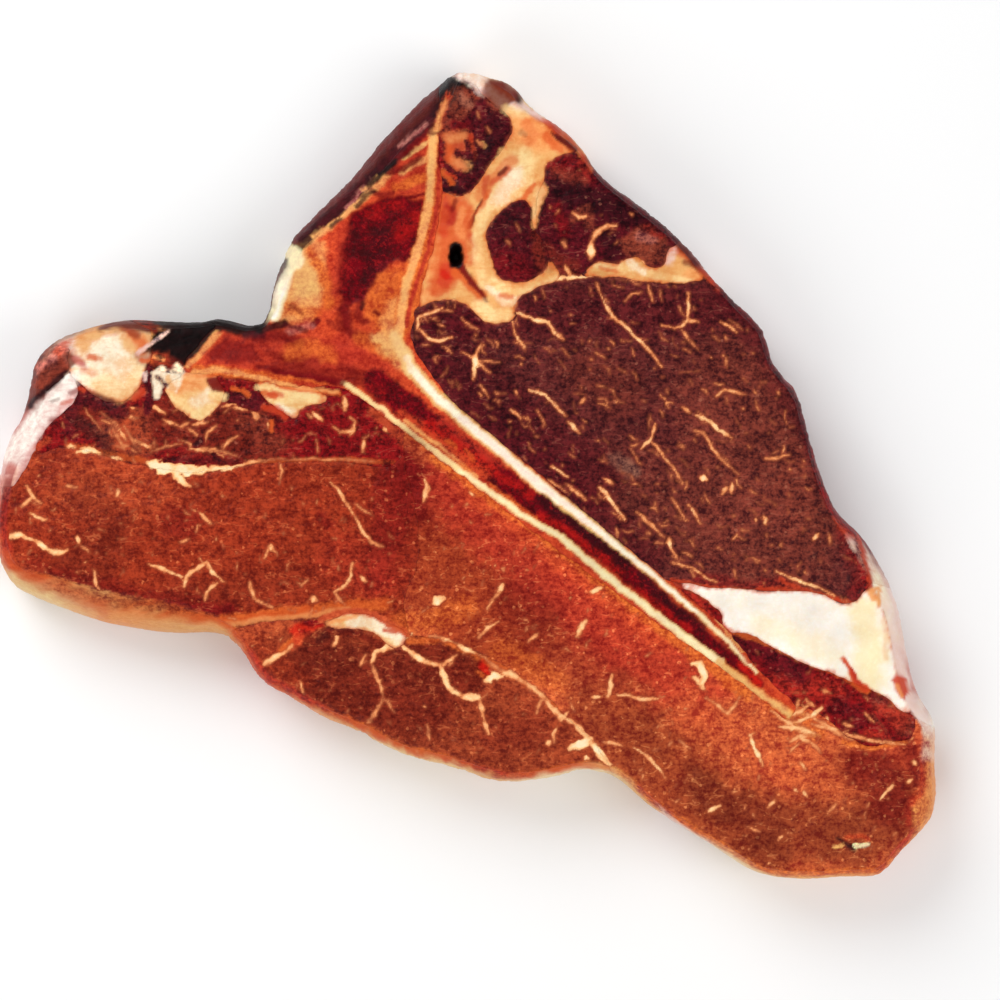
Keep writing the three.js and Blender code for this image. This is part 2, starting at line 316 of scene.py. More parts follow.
def read_cells(columns, rows, cell, low):
    """The node's number, the height and whether it is cut face, for each cell of the sheet."""
    tree, owners = cad_surface()
    across, along = np.meshgrid((np.arange(columns) + 0.5) * cell + low[0],
                                (np.arange(rows) + 0.5) * cell + low[1])
    sideways = layered_grain(across, along, 2.4, seed=11) + 0.6 * grain(across, along, 0.9, seed=14)
    lengthways = layered_grain(across, along, 2.4, seed=21) + 0.6 * grain(across, along, 0.9, seed=24)
    seen_x, seen_y = across + SEAM_WANDER * sideways, along + SEAM_WANDER * lengthways
    label = np.full((rows, columns), UNKNOWN)
    height = np.zeros((rows, columns))
    is_face = np.zeros((rows, columns))
    for row in range(rows):
        for column in range(columns):
            start = (seen_x[row, column], seen_y[row, column], RAY_START)
            found, normal, face, _ = tree.ray_cast(start, DOWN)
            if found:
                label[row, column] = owners[face]
                height[row, column] = found.z
                is_face[row, column] = normal.z > FACE_SLOPE and found.z > LOWEST_FACE
    return across, along, label, height, is_face


def filled(label):
    """Gives every unknown cell the label of a neighbour."""
    while (label == UNKNOWN).any():
        for axis in (0, 1):
            for step in (-1, 1):
                neighbour = np.roll(label, step, axis)
                take = (label == UNKNOWN) & (neighbour >= 0)
                label[take] = neighbour[take]
    return label


def tidied(label):
    """Gives every cell the label that most cells around it have, so that no crumbs are left."""
    most, best = np.zeros(label.shape), label.copy()
    for number in range(len(NODE_NAMES)):
        own = (label == number).astype(float)
        count = sum(np.roll(own, (up, right), (0, 1)) for up in (-1, 0, 1) for right in (-1, 0, 1))
        better = count > most
        most[better], best[better] = count[better], number
    best[label == OUTSIDE] = OUTSIDE
    return best


def pinches(label, one, other):
    """Where a piece's cells meet only at a corner: the upper cell has column offset one, the lower other."""
    width = label.shape[1] - 1
    upper, beside = label[:-1, one:width + one], label[:-1, other:width + other]
    below, lower = label[1:, one:width + one], label[1:, other:width + other]
    return np.argwhere((upper == lower) & (beside != upper) & (below != upper))


def unpinched(label):
    """Widens every place where two cells of a piece meet only at a corner."""
    for _ in range(PINCH_ROUNDS):
        if not len(pinches(label, 0, 1)) and not len(pinches(label, 1, 0)):
            break
        for one, other in ((0, 1), (1, 0)):
            for row, column in pinches(label, one, other):
                upper, beside = (row, column + one), (row, column + other)
                if label[upper] == OUTSIDE:
                    label[upper] = label[beside]
                else:
                    label[beside] = label[upper]
    return label


def seam_edges(label):
    """Which edges of the lattice part two labels: those along Y, and those along X."""
    wide = np.pad(label, 1, constant_values=OUTSIDE)
    upright = wide[1:-1, :-1] != wide[1:-1, 1:]
    level = wide[:-1, 1:-1] != wide[1:, 1:-1]
    return upright.astype(float), level.astype(float)


def smooth_seams(points, label, passes=7):
    """Draws the stepped seams out into smooth lines: each point moves along its own seam."""
    upright, level = (edges[..., None] for edges in seam_edges(label))
    for _ in range(passes):
        total, count = np.zeros_like(points), np.zeros(points.shape[:2] + (1,))
        total[:-1] += upright * points[1:]
        total[1:] += upright * points[:-1]
        total[:, :-1] += level * points[:, 1:]
        total[:, 1:] += level * points[:, :-1]
        count[:-1] += upright
        count[1:] += upright
        count[:, :-1] += level
        count[:, 1:] += level
        points = np.where(count > 0, (points + total / np.maximum(count, 1)) / 2, points)
    return points


def relax(points, free, passes=10):
    """Moves each free point to the middle of its four neighbours."""
    for _ in range(passes):
        middle = (np.roll(points, 1, 0) + np.roll(points, -1, 0)
                  + np.roll(points, 1, 1) + np.roll(points, -1, 1)) / 4
        points = np.where(free[..., None], middle, points)
    return points


def corner_labels(label):
    """The labels of the four cells round each point of the lattice."""
    wide = np.pad(label, 1, constant_values=OUTSIDE)
    return np.stack([wide[:-1, :-1], wide[:-1, 1:], wide[1:, :-1], wide[1:, 1:]])


def read_round(ring, turn):
    """Reads a table with one value for each direction at any angle."""
    place = (turn / (2 * math.pi)) % 1 * SPOKES
    spoke = np.floor(place).astype(int)
    share = place - spoke
    return ring[..., spoke % SPOKES] * (1 - share) + ring[..., (spoke + 1) % SPOKES] * share


def read_table(table, x, y, cell, low):
    """Reads a table with one value for each cell at any place."""
    column = np.clip((x - low[0]) / cell - 0.5, 0, table.shape[1] - 1.001)
    row = np.clip((y - low[1]) / cell - 0.5, 0, table.shape[0] - 1.001)
    i, j = np.floor(column).astype(int), np.floor(row).astype(int)
    right, up = column - i, row - j
    return ((table[j, i] * (1 - right) + table[j, i + 1] * right) * (1 - up)
            + (table[j + 1, i] * (1 - right) + table[j + 1, i + 1] * right) * up)


def rounded(depth, radius):
    """How far an edge rounded to a radius stands back, by the distance from the sharp edge."""
    near = np.clip(radius - depth, 0, radius)
    return radius - np.sqrt(radius ** 2 - near ** 2)


FAT_NODES = ("upper_fat", "back_seam_fat", "fat_wedge", "seam_fat", "left_fat_pad", "left_fat_island",
             "right_fat_island")
# How far each kind of piece stands above the even cut face.
STANDING = {"t_bone": 0.15, "left_silverskin": 0.1, "dried_tissue": -0.2, "tip_muscle": 0.1,
            **{node: -0.12 for node in FAT_NODES}}


def lattice_points(label, brink, setback, cell, low):
    """The lattice's points, drawn onto smooth seams and the brink; which are used, and which on the rim."""
    rows, columns = label.shape
    lattice = np.stack(np.meshgrid(np.arange(columns + 1) * cell + low[0],
                                   np.arange(rows + 1) * cell + low[1]), -1)
    around = corner_labels(label)
    is_used = (around != OUTSIDE).any(0)
    is_rim = is_used & (around == OUTSIDE).any(0)
    is_free = (around == around[0]).all(0) & is_used
    points = smooth_seams(lattice, label)
    turn = np.arctan2(points[..., 1], points[..., 0])
    on_brink = np.stack([np.cos(turn), np.sin(turn)], -1) * (read_round(brink, turn) - setback)[..., None]
    points = np.where(is_rim[..., None], on_brink, points)
    return relax(points, is_free), is_used, is_rim


def edge_distances(x, y, is_near, turns, radii):
    """How far each point near the steak's edge lies from it."""
    edge = KDTree(SPOKES)
    for spoke, (turn, radius) in enumerate(zip(turns, radii)):
        edge.insert((radius * math.cos(turn), radius * math.sin(turn), 0), spoke)
    edge.balance()
    distance = np.full(x.shape, FAR_FROM_EDGE)
    for row, column in zip(*np.nonzero(is_near)):
        distance[row, column] = edge.find((x[row, column], y[row, column], 0))[2]
    return distance


def groove_share(label, x, y, cell, low):
    """1 on a seam, falling to 0 beside it."""
    upright, level = seam_edges(label)
    between = (upright[:, :-1] + upright[:, 1:] + level[:-1] + level[1:] > 0).astype(float)
    return np.clip(read_table(blurred(between, GROOVE_BLUR), x, y, cell, low) * 2, 0, 1)


def standing(label):
    """How far the piece of each cell stands above the even cut face."""
    stands = np.zeros(label.shape)
    for node, rise in STANDING.items():
        stands[label == NODE_NAMES.index(node)] = rise
    return stands


def lean_shades(label, fat):
    """The colour of the meat next to each cell, as a table each for red, green and blue."""
    own_shades = np.array([paint(MARKS[node][0]) for node in NODE_NAMES])
    is_lean = (label != OUTSIDE) & (fat == 0)
    share = np.maximum(blurred(is_lean.astype(float), SHADE_BLUR), SOME_CELLS)
    return [blurred(np.where(is_lean, own_shades[label, part], 0), SHADE_BLUR) / share for part in range(3)]


@lru_cache(maxsize=None)
def sheet():
    """The whole steak as a lattice: each point's place on the face and the underside, each cell's piece."""
    size = sizes()
    cell = size.cell
    low = np.array([CAD_BOX[0][0], CAD_BOX[0][1]]) / MM - 2 * cell
    high = np.array([CAD_BOX[1][0], CAD_BOX[1][1]]) / MM + 2 * cell
    columns, rows = (int(math.ceil(span / cell)) for span in high - low)
    turns, radius, brink = measure_side()
    across, along, label, height, is_face = read_cells(columns, rows, cell, low)
    face_height = blurred(height * is_face, FACE_BLUR) / np.maximum(blurred(is_face, FACE_BLUR), SOME_CELLS)
    setback = (1 - math.sqrt(0.5)) * size.rounding      # the rim lies half way round the rounded edge
    inner_x, inner_y = (brink - 1) * np.cos(turns), (brink - 1) * np.sin(turns)
    brink_height = blurred_round(read_table(face_height, inner_x, inner_y, cell, low), BRINK_BLUR)
    side = side_table(radius, brink, brink_height)

    inside = np.hypot(across, along) < read_round(brink, np.arctan2(along, across)) - setback - 0.3 * cell
    label[~inside] = OUTSIDE
    label = unpinched(tidied(tidied(filled(label))))
    points, is_used, is_rim = lattice_points(label, brink, setback, cell, low)
    x, y = points[..., 0], points[..., 1]
    turn, reach = np.arctan2(y, x), np.hypot(x, y)
    brink_radius = read_round(brink, turn)
    from_edge = edge_distances(x, y, is_used & (reach > brink_radius - EDGE_BAND), turns, brink - setback)
    from_edge[is_rim] = 0

    lumps = (layered_grain(x, y, 1.5, seed=31) + 0.8 * grain(x, y, 4.5, seed=41)
             + 0.7 * grain(x, y, 11, seed=42))
    z = (read_table(face_height, x, y, cell, low) - rounded(from_edge + setback, size.rounding)
         - size.groove * groove_share(label, x, y, cell, low)
         + read_table(blurred(standing(label), STEP_BLUR), x, y, cell, low)
         + size.lumps * lumps + bone_relief(x, y))

    # the underside follows the face, and near the edge it is drawn out to the foot of the side
    foot = read_round(side[0], turn) - (brink_radius - setback)
    share = reach / (brink_radius - setback)
    below = points * (1 + foot * smoothstep(0.72, 1, share) / np.maximum(reach, 1))[..., None]
    lift = 0.25 * np.clip(layered_grain(x, y, 6, seed=51), 0, 1) * smoothstep(0, 3, from_edge)
    fat = sum((label == NODE_NAMES.index(node)).astype(float) for node in FAT_NODES)
    return SimpleNamespace(
        cell=cell, low=low, label=label, x=x, y=y, z=z, below=below, lift=lift, turn=turn,
        is_rim=is_rim, from_edge=from_edge, side=side, setback=setback,
        brink_height=brink_height, fat=blurred(fat, FAT_BLUR), lean=lean_shades(label, fat))


def wall_points(rows, columns, share):
    """Points of the side below points of the brink: share is 1 at the brink and 0 at the underside."""
    steak, size = sheet(), sizes()
    turn, top = steak.turn[rows, columns], steak.z[rows, columns]
    height = top * (0.5 - 0.5 * np.cos(math.pi * share))
    brink_height = read_round(steak.brink_height, turn)
    ring = np.clip(height / brink_height, 0, 1) * SIDE_RINGS
    low_ring = np.minimum(np.floor(ring).astype(int), SIDE_RINGS - 1)
    radii = read_round(steak.side, turn)
    each = np.arange(len(turn))
    up = ring - low_ring
    radius = radii[low_ring, each] * (1 - up) + radii[low_ring + 1, each] * up
    radius -= rounded(top + steak.setback - height, size.rounding)
    own = np.hypot(steak.x[rows, columns], steak.y[rows, columns])
    near_brink = smoothstep(0.8, 1, share)
    radius = radius * (1 - near_brink) + own * near_brink
    length = turn * MEAN_RADIUS
    folds = (layered_grain(length, height * 0.7, 3.2, seed=61) + 0.6 * grain(length, height, 8, seed=62)
             + 0.35 * grain(length * 2.2, height * 0.5, 1.2, seed=63))
    radius += size.side_lumps * folds * np.sin(math.pi * share) ** 0.5
    return radius * np.cos(turn), radius * np.sin(turn), height


# ---------------------------------------------------------------- marks on the cut face


def line(name, strength, half, route, soft=None):
    """A painted stroke. half is half its width, or that at both ends, and soft is its blurred rim."""
    ends = half if isinstance(half, tuple) else (half, half)
    return SimpleNamespace(kind="line", paint=name, strength=strength, ends=ends, route=on_steak(route),
                           soft=0.9 * max(ends) if soft is None else soft)


def patch(name, strength, soft, route):
    """A painted area with a blurred rim."""
    return SimpleNamespace(kind="patch", paint=name, strength=strength, soft=soft, route=on_steak(route))


def vein(half, tone, route):
    """A strand of fat: half its width, or that at both ends, and its tone from 0, orange, to 1, cream."""
    ends = half if isinstance(half, tuple) else (half, half)
    return SimpleNamespace(ends=ends, tone=tone, route=on_steak(route))


def distance_to_line(x, y, route):
    """The distance to a route of straight stretches, and how far along it the nearest place lies."""
    if len(route) == 1:
        return np.hypot(x - route[0, 0], y - route[0, 1]), np.zeros(x.shape)
    lengths = np.hypot(*np.diff(route, axis=0).T)
    starts = np.append(0, np.cumsum(lengths))
    best, along = np.full(x.shape, np.inf), np.zeros(x.shape)
    for start, end, length, before in zip(route[:-1], route[1:], lengths, starts):
        step = (end - start) / length
        run = np.clip((x - start[0]) * step[0] + (y - start[1]) * step[1], 0, length)
        distance = np.hypot(x - start[0] - run * step[0], y - start[1] - run * step[1])
        nearer = distance < best
        best[nearer], along[nearer] = distance[nearer], ((before + run) / starts[-1])[nearer]
    return best, along


def distance_to_patch(x, y, route):
    """The distance to the outline of an area, negative inside it."""
    closed = np.vstack([route, route[:1]])
    distance, _ = distance_to_line(x, y, closed)
    inside = np.zeros(x.shape, bool)
    for start, end in zip(closed[:-1], closed[1:]):
        crosses = (start[1] > y) != (end[1] > y)
        rise = end[1] - start[1] if end[1] != start[1] else 1e-9
        inside ^= crosses & (x < start[0] + (y - start[1]) / rise * (end[0] - start[0]))
    return np.where(inside, -distance, distance)


def nearby(x, y, route, reach):
    """The points within reach of the box round a route."""
    low, high = route.min(0) - reach, route.max(0) + reach
    return np.nonzero((x > low[0]) & (x < high[0]) & (y > low[1]) & (y < high[1]))[0]


def wandered(x, y, far):
    """The places moved about a little, so that what is laid out straight comes out uneven."""
    return (x + far * (layered_grain(x, y, 2.4, seed=71) + 0.4 * grain(x, y, 0.9, seed=73)),
            y + far * (layered_grain(x, y, 2.4, seed=81) + 0.4 * grain(x, y, 0.9, seed=83)))


def paint_marks(tint, x, y, marks, hidden=None):
    """Lays the marks over the tint, in order. hidden notes where meat is laid over strands of fat."""
    for mark in marks:
        close = nearby(x, y, mark.route, mark.soft * 1.5 + max(getattr(mark, "ends", (0, 0))) + 1)
        if not len(close):
            continue
        far = 0.25 + 0.35 * mark.soft
        at_x, at_y = wandered(x[close], y[close], far)
        if mark.kind == "line":
            distance, along = distance_to_line(at_x, at_y, mark.route)
            distance = distance - mark.ends[0] * (1 - along) - mark.ends[1] * along
        else:
            distance = distance_to_patch(at_x, at_y, mark.route)
        cover = mark.strength * (1 - smoothstep(-0.5 * mark.soft, mark.soft, distance))
        tint[close] += cover[:, None] * (paint(mark.paint) - tint[close])
        if hidden is not None:
            hidden[close] = np.maximum(hidden[close], cover)
    return tint


def lay_veins(x, y, veins):
    """How far each point lies outside the strands of fat, and the tone of the nearest strand."""
    outside, tone = np.full(x.shape, NO_STRAND_NEAR), np.full(x.shape, MIDDLE_TONE)
    for strand in veins:
        close = nearby(x, y, strand.route, NO_STRAND_NEAR)
        at_x, at_y = wandered(x[close], y[close], 0.3)
        distance, along = distance_to_line(at_x, at_y, strand.route)
        middle = np.sin(math.pi * np.clip(along, 0.03, 0.97)) ** 0.6
        half = strand.ends[0] * (1 - along) + strand.ends[1] * along
        thick = half * (0.36 + 0.5 * middle) * (1 + 0.5 * grain(at_x, at_y, 1.2, seed=91))
        distance = distance - thick
        nearer = distance < outside[close]
        outside[close[nearer]] = distance[nearer]
        own_tone = strand.tone * (0.7 + 0.3 * middle) + 0.15 * grain(at_x, at_y, 1.8, seed=95)
        tone[close[nearer]] = own_tone[nearer]
    return outside, tone


def loose_flecks(x, y, seed, count, length, half, lean, spread):
    """Short strands of fat at random places of a piece, along a direction in degrees."""
    chance = np.random.default_rng(seed)
    flecks = []
    for _ in range(count):
        place = chance.integers(len(x))
        turn = math.radians(lean + chance.normal() * spread)
        run = chance.uniform(0.15, 1) ** 1.5 * length / 2
        way = np.array((math.cos(turn), math.sin(turn))) * run
        middle = np.array((x[place], y[place]))
        bend = np.array((-way[1], way[0])) * chance.uniform(-0.4, 0.4)
        thick = half * chance.uniform(0.6, 1.2)
        flecks.append(SimpleNamespace(ends=(thick, thick), tone=chance.uniform(0.0, 0.6),
                                      route=np.array([middle - way, middle + bend, middle + way])))
    return flecks


# Routes on the bone: the stem's pale walls, the marrow between them, and the hollow face's outline.
UPPER_WALL = (396, 340, 413, 371, 440, 400, 460, 417, 480, 434, 500, 450, 520, 468, 560, 501, 600, 532,
              660, 581, 700, 615, 720, 633, 740, 654, 757, 673)
LOWER_WALL = (343, 383, 380, 408, 420, 440, 460, 471, 480, 485, 520, 514, 560, 537, 600, 571, 660, 618,
              720, 663, 760, 693, 790, 713)
CANAL = (376, 382, 385, 388, 400, 400, 430, 425, 470, 455, 510, 485, 550, 514, 600, 550, 650, 591, 700, 634,
         740, 666, 757, 684)
HOLLOW_FACE = (352, 214, 372, 204, 385, 196, 402, 197, 425, 203, 428, 225, 422, 258, 410, 262, 396, 258,
               384, 268, 372, 284, 364, 302, 348, 300, 338, 292, 339, 270, 344, 250, 347, 232)


def bone_relief(x, y):
    """The bone's own relief: pale walls stand proud of the marrow, and the vessel's pit is sunk."""
    relief = np.zeros(x.shape)
    at_x, at_y = wandered(x, y, 0.3)
    canal, _ = distance_to_line(at_x, at_y, on_steak(CANAL))
    relief -= CANAL_DEPTH * (1 - smoothstep(0.8, 2.2, canal))
    marrow = distance_to_patch(at_x, at_y, on_steak(HOLLOW_FACE))
    relief -= HOLLOW_DEPTH * (1 - smoothstep(-2, 0.5, marrow))
    for route in (UPPER_WALL, LOWER_WALL):
        wall, _ = distance_to_line(at_x, at_y, on_steak(route))
        relief += WALL_RISE * (1 - smoothstep(0.3, 1.4, wall))
    pit = np.hypot(at_x - PIT[0], (at_y - PIT[1]) / 1.45)
    return relief - PIT_DEPTH * (1 - smoothstep(0.6, 2.0, pit))


# For each node the piece's own colour, and the strokes on it in painting order.
MARKS = {
    "t_bone": ("ember", [
        # face of the backbone: gristle on the left, orange bone, and the dark marrow
        patch("orange", 0.85, 2.6, "380,272 415,262 428,250 424,285 413,322 402,338 380,330 366,306"),
        patch("apricot", 0.5, 1.6, "392,300 408,296 404,326 392,334 382,322"),
        patch("apricot", 0.95, 1.6, "286,248 306,240 322,246 322,290 312,318 284,320 272,318"),
        patch("gold", 0.7, 1.6, "292,262 306,254 318,268 316,292 296,296"),
        line("orange", 0.9, (0.8, 1.4), "308,246 316,262 326,280 328,304"),
        line("apricot", 0.85, 1.0, "300,247 325,226 345,210 368,192 388,172"),
        line("scarlet", 0.35, 0.8, "316,248 320,252"), line("orange", 0.75, 1.5, "288,308 300,312 314,312"),
        line("garnet", 0.6, 0.5, "289,306 296,309 302,314"),
        line("marrow", 0.95, 0.65, "312,324 318,320", 0.4),
        line("straw", 0.95, (2.2, 1.2), "288,256 284,276 279,296 274,316", 0.7),
        line("chalk", 1.0, (2.4, 1.1), "284,258 281,276 276,294 272,314", 0.6),
        # upper part: streaked red and orange below the dark rim
        patch("brick", 0.6, 1.4, "402,150 428,130 432,160 430,190 402,194 385,184"),
        line("orange", 0.9, 1.1, "396,186 412,182 430,176", 0.6),
        line("apricot", 0.8, 0.8, "402,172 416,163 430,158", 0.5),
        line("garnet", 0.9, 0.6, "388,172 404,168 420,158"),
        line("garnet", 0.8, 0.6, "372,190 380,194 392,192"), line("ember", 0.8, 0.6, "398,180 410,174"),
        line("gold", 0.75, 0.4, "404,158 418,148 430,140"),
        # marrow
        patch("marrow", 1.0, 1.0, HOLLOW_FACE), line("scarlet", 0.28, 1.8, "398,232 412,224 424,214"),
        line("scarlet", 0.22, 1.2, "372,214 386,204 398,206", 1.4),
        line("night", 0.6, (2.4, 1.4), "384,236 372,262 366,278"),
        line("night", 0.35, 1.4, "355,232 362,250"),
        line("brick", 0.6, 1.0, "345,226 338,262 334,292", 1.6),
        line("garnet", 0.6, 1.0, "346,246 342,262 344,280", 1.2),
        line("marrow", 0.85, 1.1, "350,292 345,308 348,324"),
        line("garnet", 0.7, 1.2, "344,304 342,322 350,334"),
        line("marrow", 0.75, 0.9, "360,300 358,316 366,322"), line("night", 0.7, 0.5, "363,304 361,309"),
        line("marrow", 0.8, 0.5, "375,312 379,314"), line("garnet", 0.6, 0.6, "330,322 338,328"),
        line("marrow", 0.9, 0.35, "398,199 416,196 437,192"),
        # pale line along the fat, with a thin red seam beside it
        line("orange", 0.9, 1.5, "436,122 434,160 431,200 424,236 412,268 404,300 400,332", 0.7),
        line("apricot", 0.95, 0.95, "434,122 432,160 429,200 422,236 411,268 403,300 399,334", 0.5),
        line("gold", 0.7, 0.5, "433,130 431,168 428,200"), line("gold", 0.6, 0.5, "410,272 403,300"),
        line("brick", 0.95, 0.42, "440,128 439,165 438,196 434,225 428,250 419,276 411,300 406,326"),
        # purple edge
        line("plum", 0.95, 1.4, "300,236 335,209 368,181 400,148 426,124 441,104", 0.8),
        # left arm
        patch("brick", 0.8, 1.6, "205,342 232,332 275,336 330,340 362,352 345,378 300,373 250,367 205,361"),
        patch("garnet", 0.8, 1.3, "206,348 226,336 252,346 262,360 240,362 212,358"),
        line("garnet", 0.8, 1.2, "256,338 285,334 300,343"),
        line("marrow", 0.5, 0.7, "268,352 290,360 318,362", 0.8),
        line("orange", 0.7, 1.6, "290,352 312,348 330,354"),
        line("garnet", 0.6, 1.0, "275,366 305,369 335,375 352,384"),
        line("mauve", 0.5, 0.8, "290,330 310,326", 0.9),
        line("night", 0.9, 0.9, "258,330 270,328 284,323", 0.6),
        line("plum", 0.7, 0.5, "284,324 298,328 306,332"),
        line("apricot", 0.9, 0.6, "216,332 206,342 194,352"),
        line("orange", 0.7, 0.35, "196,366 225,368 250,371 275,376 300,379 325,384"),
        # joint of the arms
        line("brick", 0.7, 3.0, "345,345 362,356 378,366", 2.2),
        line("garnet", 0.6, 1.0, "352,332 372,340 386,350"),
        line("orange", 0.6, 1.4, "362,338 378,346 390,356"), line("apricot", 0.7, 0.8, "376,336 388,344"),
        line("garnet", 0.6, 0.9, "340,366 356,372 372,374"),
        # stem
        line("marrow", 1.0, (3.2, 1.6), CANAL, 1.0),
        line("marrow", 0.6, 2.0, "392,392 408,402 424,414", 1.2),
        line("garnet", 0.7, 1.4, "352,376 366,384 380,394", 1.0),
        line("ember", 0.85, (0.8, 1.8), "400,414 425,432 448,449 470,466 482,474", 1.2),
        line("brick", 0.6, 1.2, "442,422 460,436 480,452 494,464", 1.4),
        line("apricot", 0.8, 0.4, "405,420 440,447 476,477"),
        line("orange", 0.7, 0.5, "420,436 450,460 470,470"),
        line("scarlet", 0.4, 0.8, "498,476 514,484 530,496", 1.0),
        line("scarlet", 0.45, 0.7, "540,516 570,532 600,556 620,572", 1.0),
        line("scarlet", 0.5, 1.2, "428,424 450,438 474,456 492,470"),
        line("orange", 0.6, 0.4, "446,440 456,447", 0.5), line("orange", 0.5, 0.4, "466,450 474,460", 0.5),
        line("orange", 0.7, 0.5, "490,486 510,502 535,518"),
        line("night", 0.75, (1.2, 1.5), "540,498 575,524 600,542 625,562", 0.9),
        line("scarlet", 0.35, 0.6, "640,590 665,610 690,630", 0.7),
        line("night", 0.65, 1.0, "640,576 668,602 704,628"),
        line("scarlet", 0.8, 0.9, "742,664 752,674 758,684"),
        # dark meat that reaches over the stem's upper edge
        line("plum", 0.95, (0.5, 1.0), "446,394 495,434 545,474 593,517 622,542", 0.4),
        line("gold", 0.95, (1.7, 1.25), UPPER_WALL[:18], 0.5),
        line("gold", 0.95, (1.1, 0.35), UPPER_WALL[16:], 0.4),
        line("cream", 0.8, (0.8, 1.2), "394,336 402,352 413,371", 0.9),
        line("ivory", 1.0, (0.7, 1.0), (406, 358, *UPPER_WALL[2:16]), 0.5),
        line("ivory", 1.0, (0.75, 0.15), UPPER_WALL[14:], 0.35),
        line("cream", 0.6, (0.6, 0.2), UPPER_WALL[20:], 0.4), line("blush", 0.45, 0.5, UPPER_WALL[6:18]),
        line("ember", 0.9, (0.3, 0.9), "706,608 722,622 738,642 750,660", 0.4),
        line("apricot", 0.8, 0.25, "716,618 730,636 744,652"),
        line("garnet", 0.95, (0.3, 0.9), "676,582 692,596 706,606", 0.35),
        line("orange", 0.9, (0.5, 1.0), LOWER_WALL, 0.5),
        line("apricot", 0.85, (0.35, 0.7), LOWER_WALL, 0.4),
        line("cream", 0.95, (0.5, 1.0), LOWER_WALL[:-4], 0.35),
        line("straw", 0.8, (0.25, 0.6), LOWER_WALL[6:-4], 0.3),
        line("gold", 0.9, (0.7, 0.2), "718,662 750,688 775,704 798,722"),
    ]),
    "upper_fat": ("gold", [
        patch("cream", 0.9, 2.0, "508,160 526,150 534,160 528,188 508,202 488,214 482,206 498,186"),
        patch("chalk", 0.45, 1.8, "506,172 520,168 522,184 504,200 494,202"),
        patch("apricot", 0.7, 1.6, "508,112 530,110 552,124 558,146 540,150 516,142"),
        line("orange", 0.5, 1.2, "526,124 534,132 528,140"), line("umber", 0.4, 0.6, "521,132 524,134"),
        line("cream", 0.7, 1.2, "506,104 520,108 534,110"),
        # red bruise at the edge
        patch("orange", 0.8, 1.0, "544,118 560,116 578,134 586,150 574,154 556,142"),
        line("ember", 0.85, 1.2, "552,124 564,132 576,146", 0.9),
        line("plum", 0.95, (0.4, 0.7), "552,134 560,140 568,144 574,149", 0.35),
        line("orange", 0.8, 0.9, "546,136 552,144 560,150"),
        # stained streaks beside the tip muscle
        line("orange", 0.6, 1.3, "512,160 500,172 486,184 480,196", 1.0),
        line("rust", 0.8, (0.7, 0.4), "509,168 500,177 491,183"),
        line("cocoa", 0.85, 0.4, "507,168 499,175"), line("rust", 0.8, 0.5, "486,178 484,188 486,196", 0.6),
        line("cocoa", 0.95, (0.3, 0.55), "482,200 477,210 470,224", 0.35),
        line("night", 0.85, 0.55, "471,222 468,227"), line("orange", 0.7, 0.5, "490,190 484,202 478,214"),
        # stained gristle beside the bone, with the vessel's pit
        patch("ember", 0.75, 1.8, "442,188 462,196 470,212 466,240 468,262 450,290 428,296 434,250"),
        patch("orange", 0.55, 1.8, "442,188 462,196 470,212 466,240 468,262 450,290 428,296 434,250"),
        line("ember", 0.75, 1.2, "441,196 446,214 443,232"),
        line("brick", 0.9, 0.8, "449,206 454,214 450,221"), line("garnet", 0.7, 0.5, "456,200 452,210"),
        line("apricot", 0.5, 0.7, "462,210 457,224 462,236", 0.8),
        line("ember", 0.7, 0.7, "470,236 476,248 474,262"),
        line("apricot", 0.4, 1.0, "436,238 434,258 428,276"),
        line("ember", 0.9, 1.5, "446,268 447,276 444,282", 1.0),
        line("scarlet", 0.8, 0.8, "443,272 447,276"), line("orange", 0.9, 1.0, "456,272 470,282 480,296"),
        line("garnet", 0.95, (0.9, 0.25), "461,266 470,280 480,292 487,302", 0.4),
        line("apricot", 0.6, 1.2, "424,296 432,306 428,318"), line("tar", 1.0, 1.7, "456,249 456,262", 0.5),
        line("cream", 0.7, 1.0, "484,214 477,235 478,262 484,284"),
        # bright fat under the back muscles
        line("cream", 0.95, (1.8, 1.2), "494,286 512,296 536,292 558,282", 1.0),
        line("ivory", 0.6, 0.8, "488,288 504,302 524,300"),
        line("cream", 0.9, 1.6, "480,306 492,316 508,316", 1.2),
        line("orange", 0.7, 0.5, "500,296 512,298"),
        line("cream", 0.9, 0.9, "541,188 536,205 535,228", 0.6),
        line("orange", 0.8, 0.5, "534,184 528,194 522,200"),
        line("umber", 0.3, 0.9, "545,245 548,262 550,268"),
        # skin over the tip
        patch("umber", 0.9, 0.9, "490,82 506,80 518,96 522,104 508,106 498,110 490,104 484,96"),
        line("blush", 0.9, (1.6, 0.8), "472,80 480,88 484,97", 1.2),
    ]),
    "tip_muscle": ("plum", [
        patch("umber", 0.7, 1.2, "456,88 470,90 476,98 468,112 458,118 452,104"),
        line("smoke", 0.5, 1.0, "460,98 468,104"), line("night", 0.6, 0.8, "452,92 455,108"),
        line("garnet", 0.4, 1.4, "456,122 464,126"), line("night", 0.6, 1.6, "494,122 500,132 490,142"),
        line("night", 0.6, 1.6, "480,146 484,156 474,168"), line("apricot", 0.5, 0.4, "482,142 485,146"),
        patch("rust", 0.85, 1.4, "443,134 456,131 470,135 472,148 460,156 466,168 456,170 446,162"),
        line("apricot", 0.55, 0.9, "449,139 462,136", 1.2),
        line("apricot", 0.5, 0.8, "454,160 466,166", 1.2), line("orange", 0.6, 0.6, "449,146 450,158", 1.0),
        line("ember", 0.6, 0.5, "472,136 473,150"),
        line("plum", 0.95, (1.1, 0.6), "459,153 467,155 469,148 467,141", 0.5),
        line("cocoa", 0.7, 0.4, "473,144 476,154 474,160"),
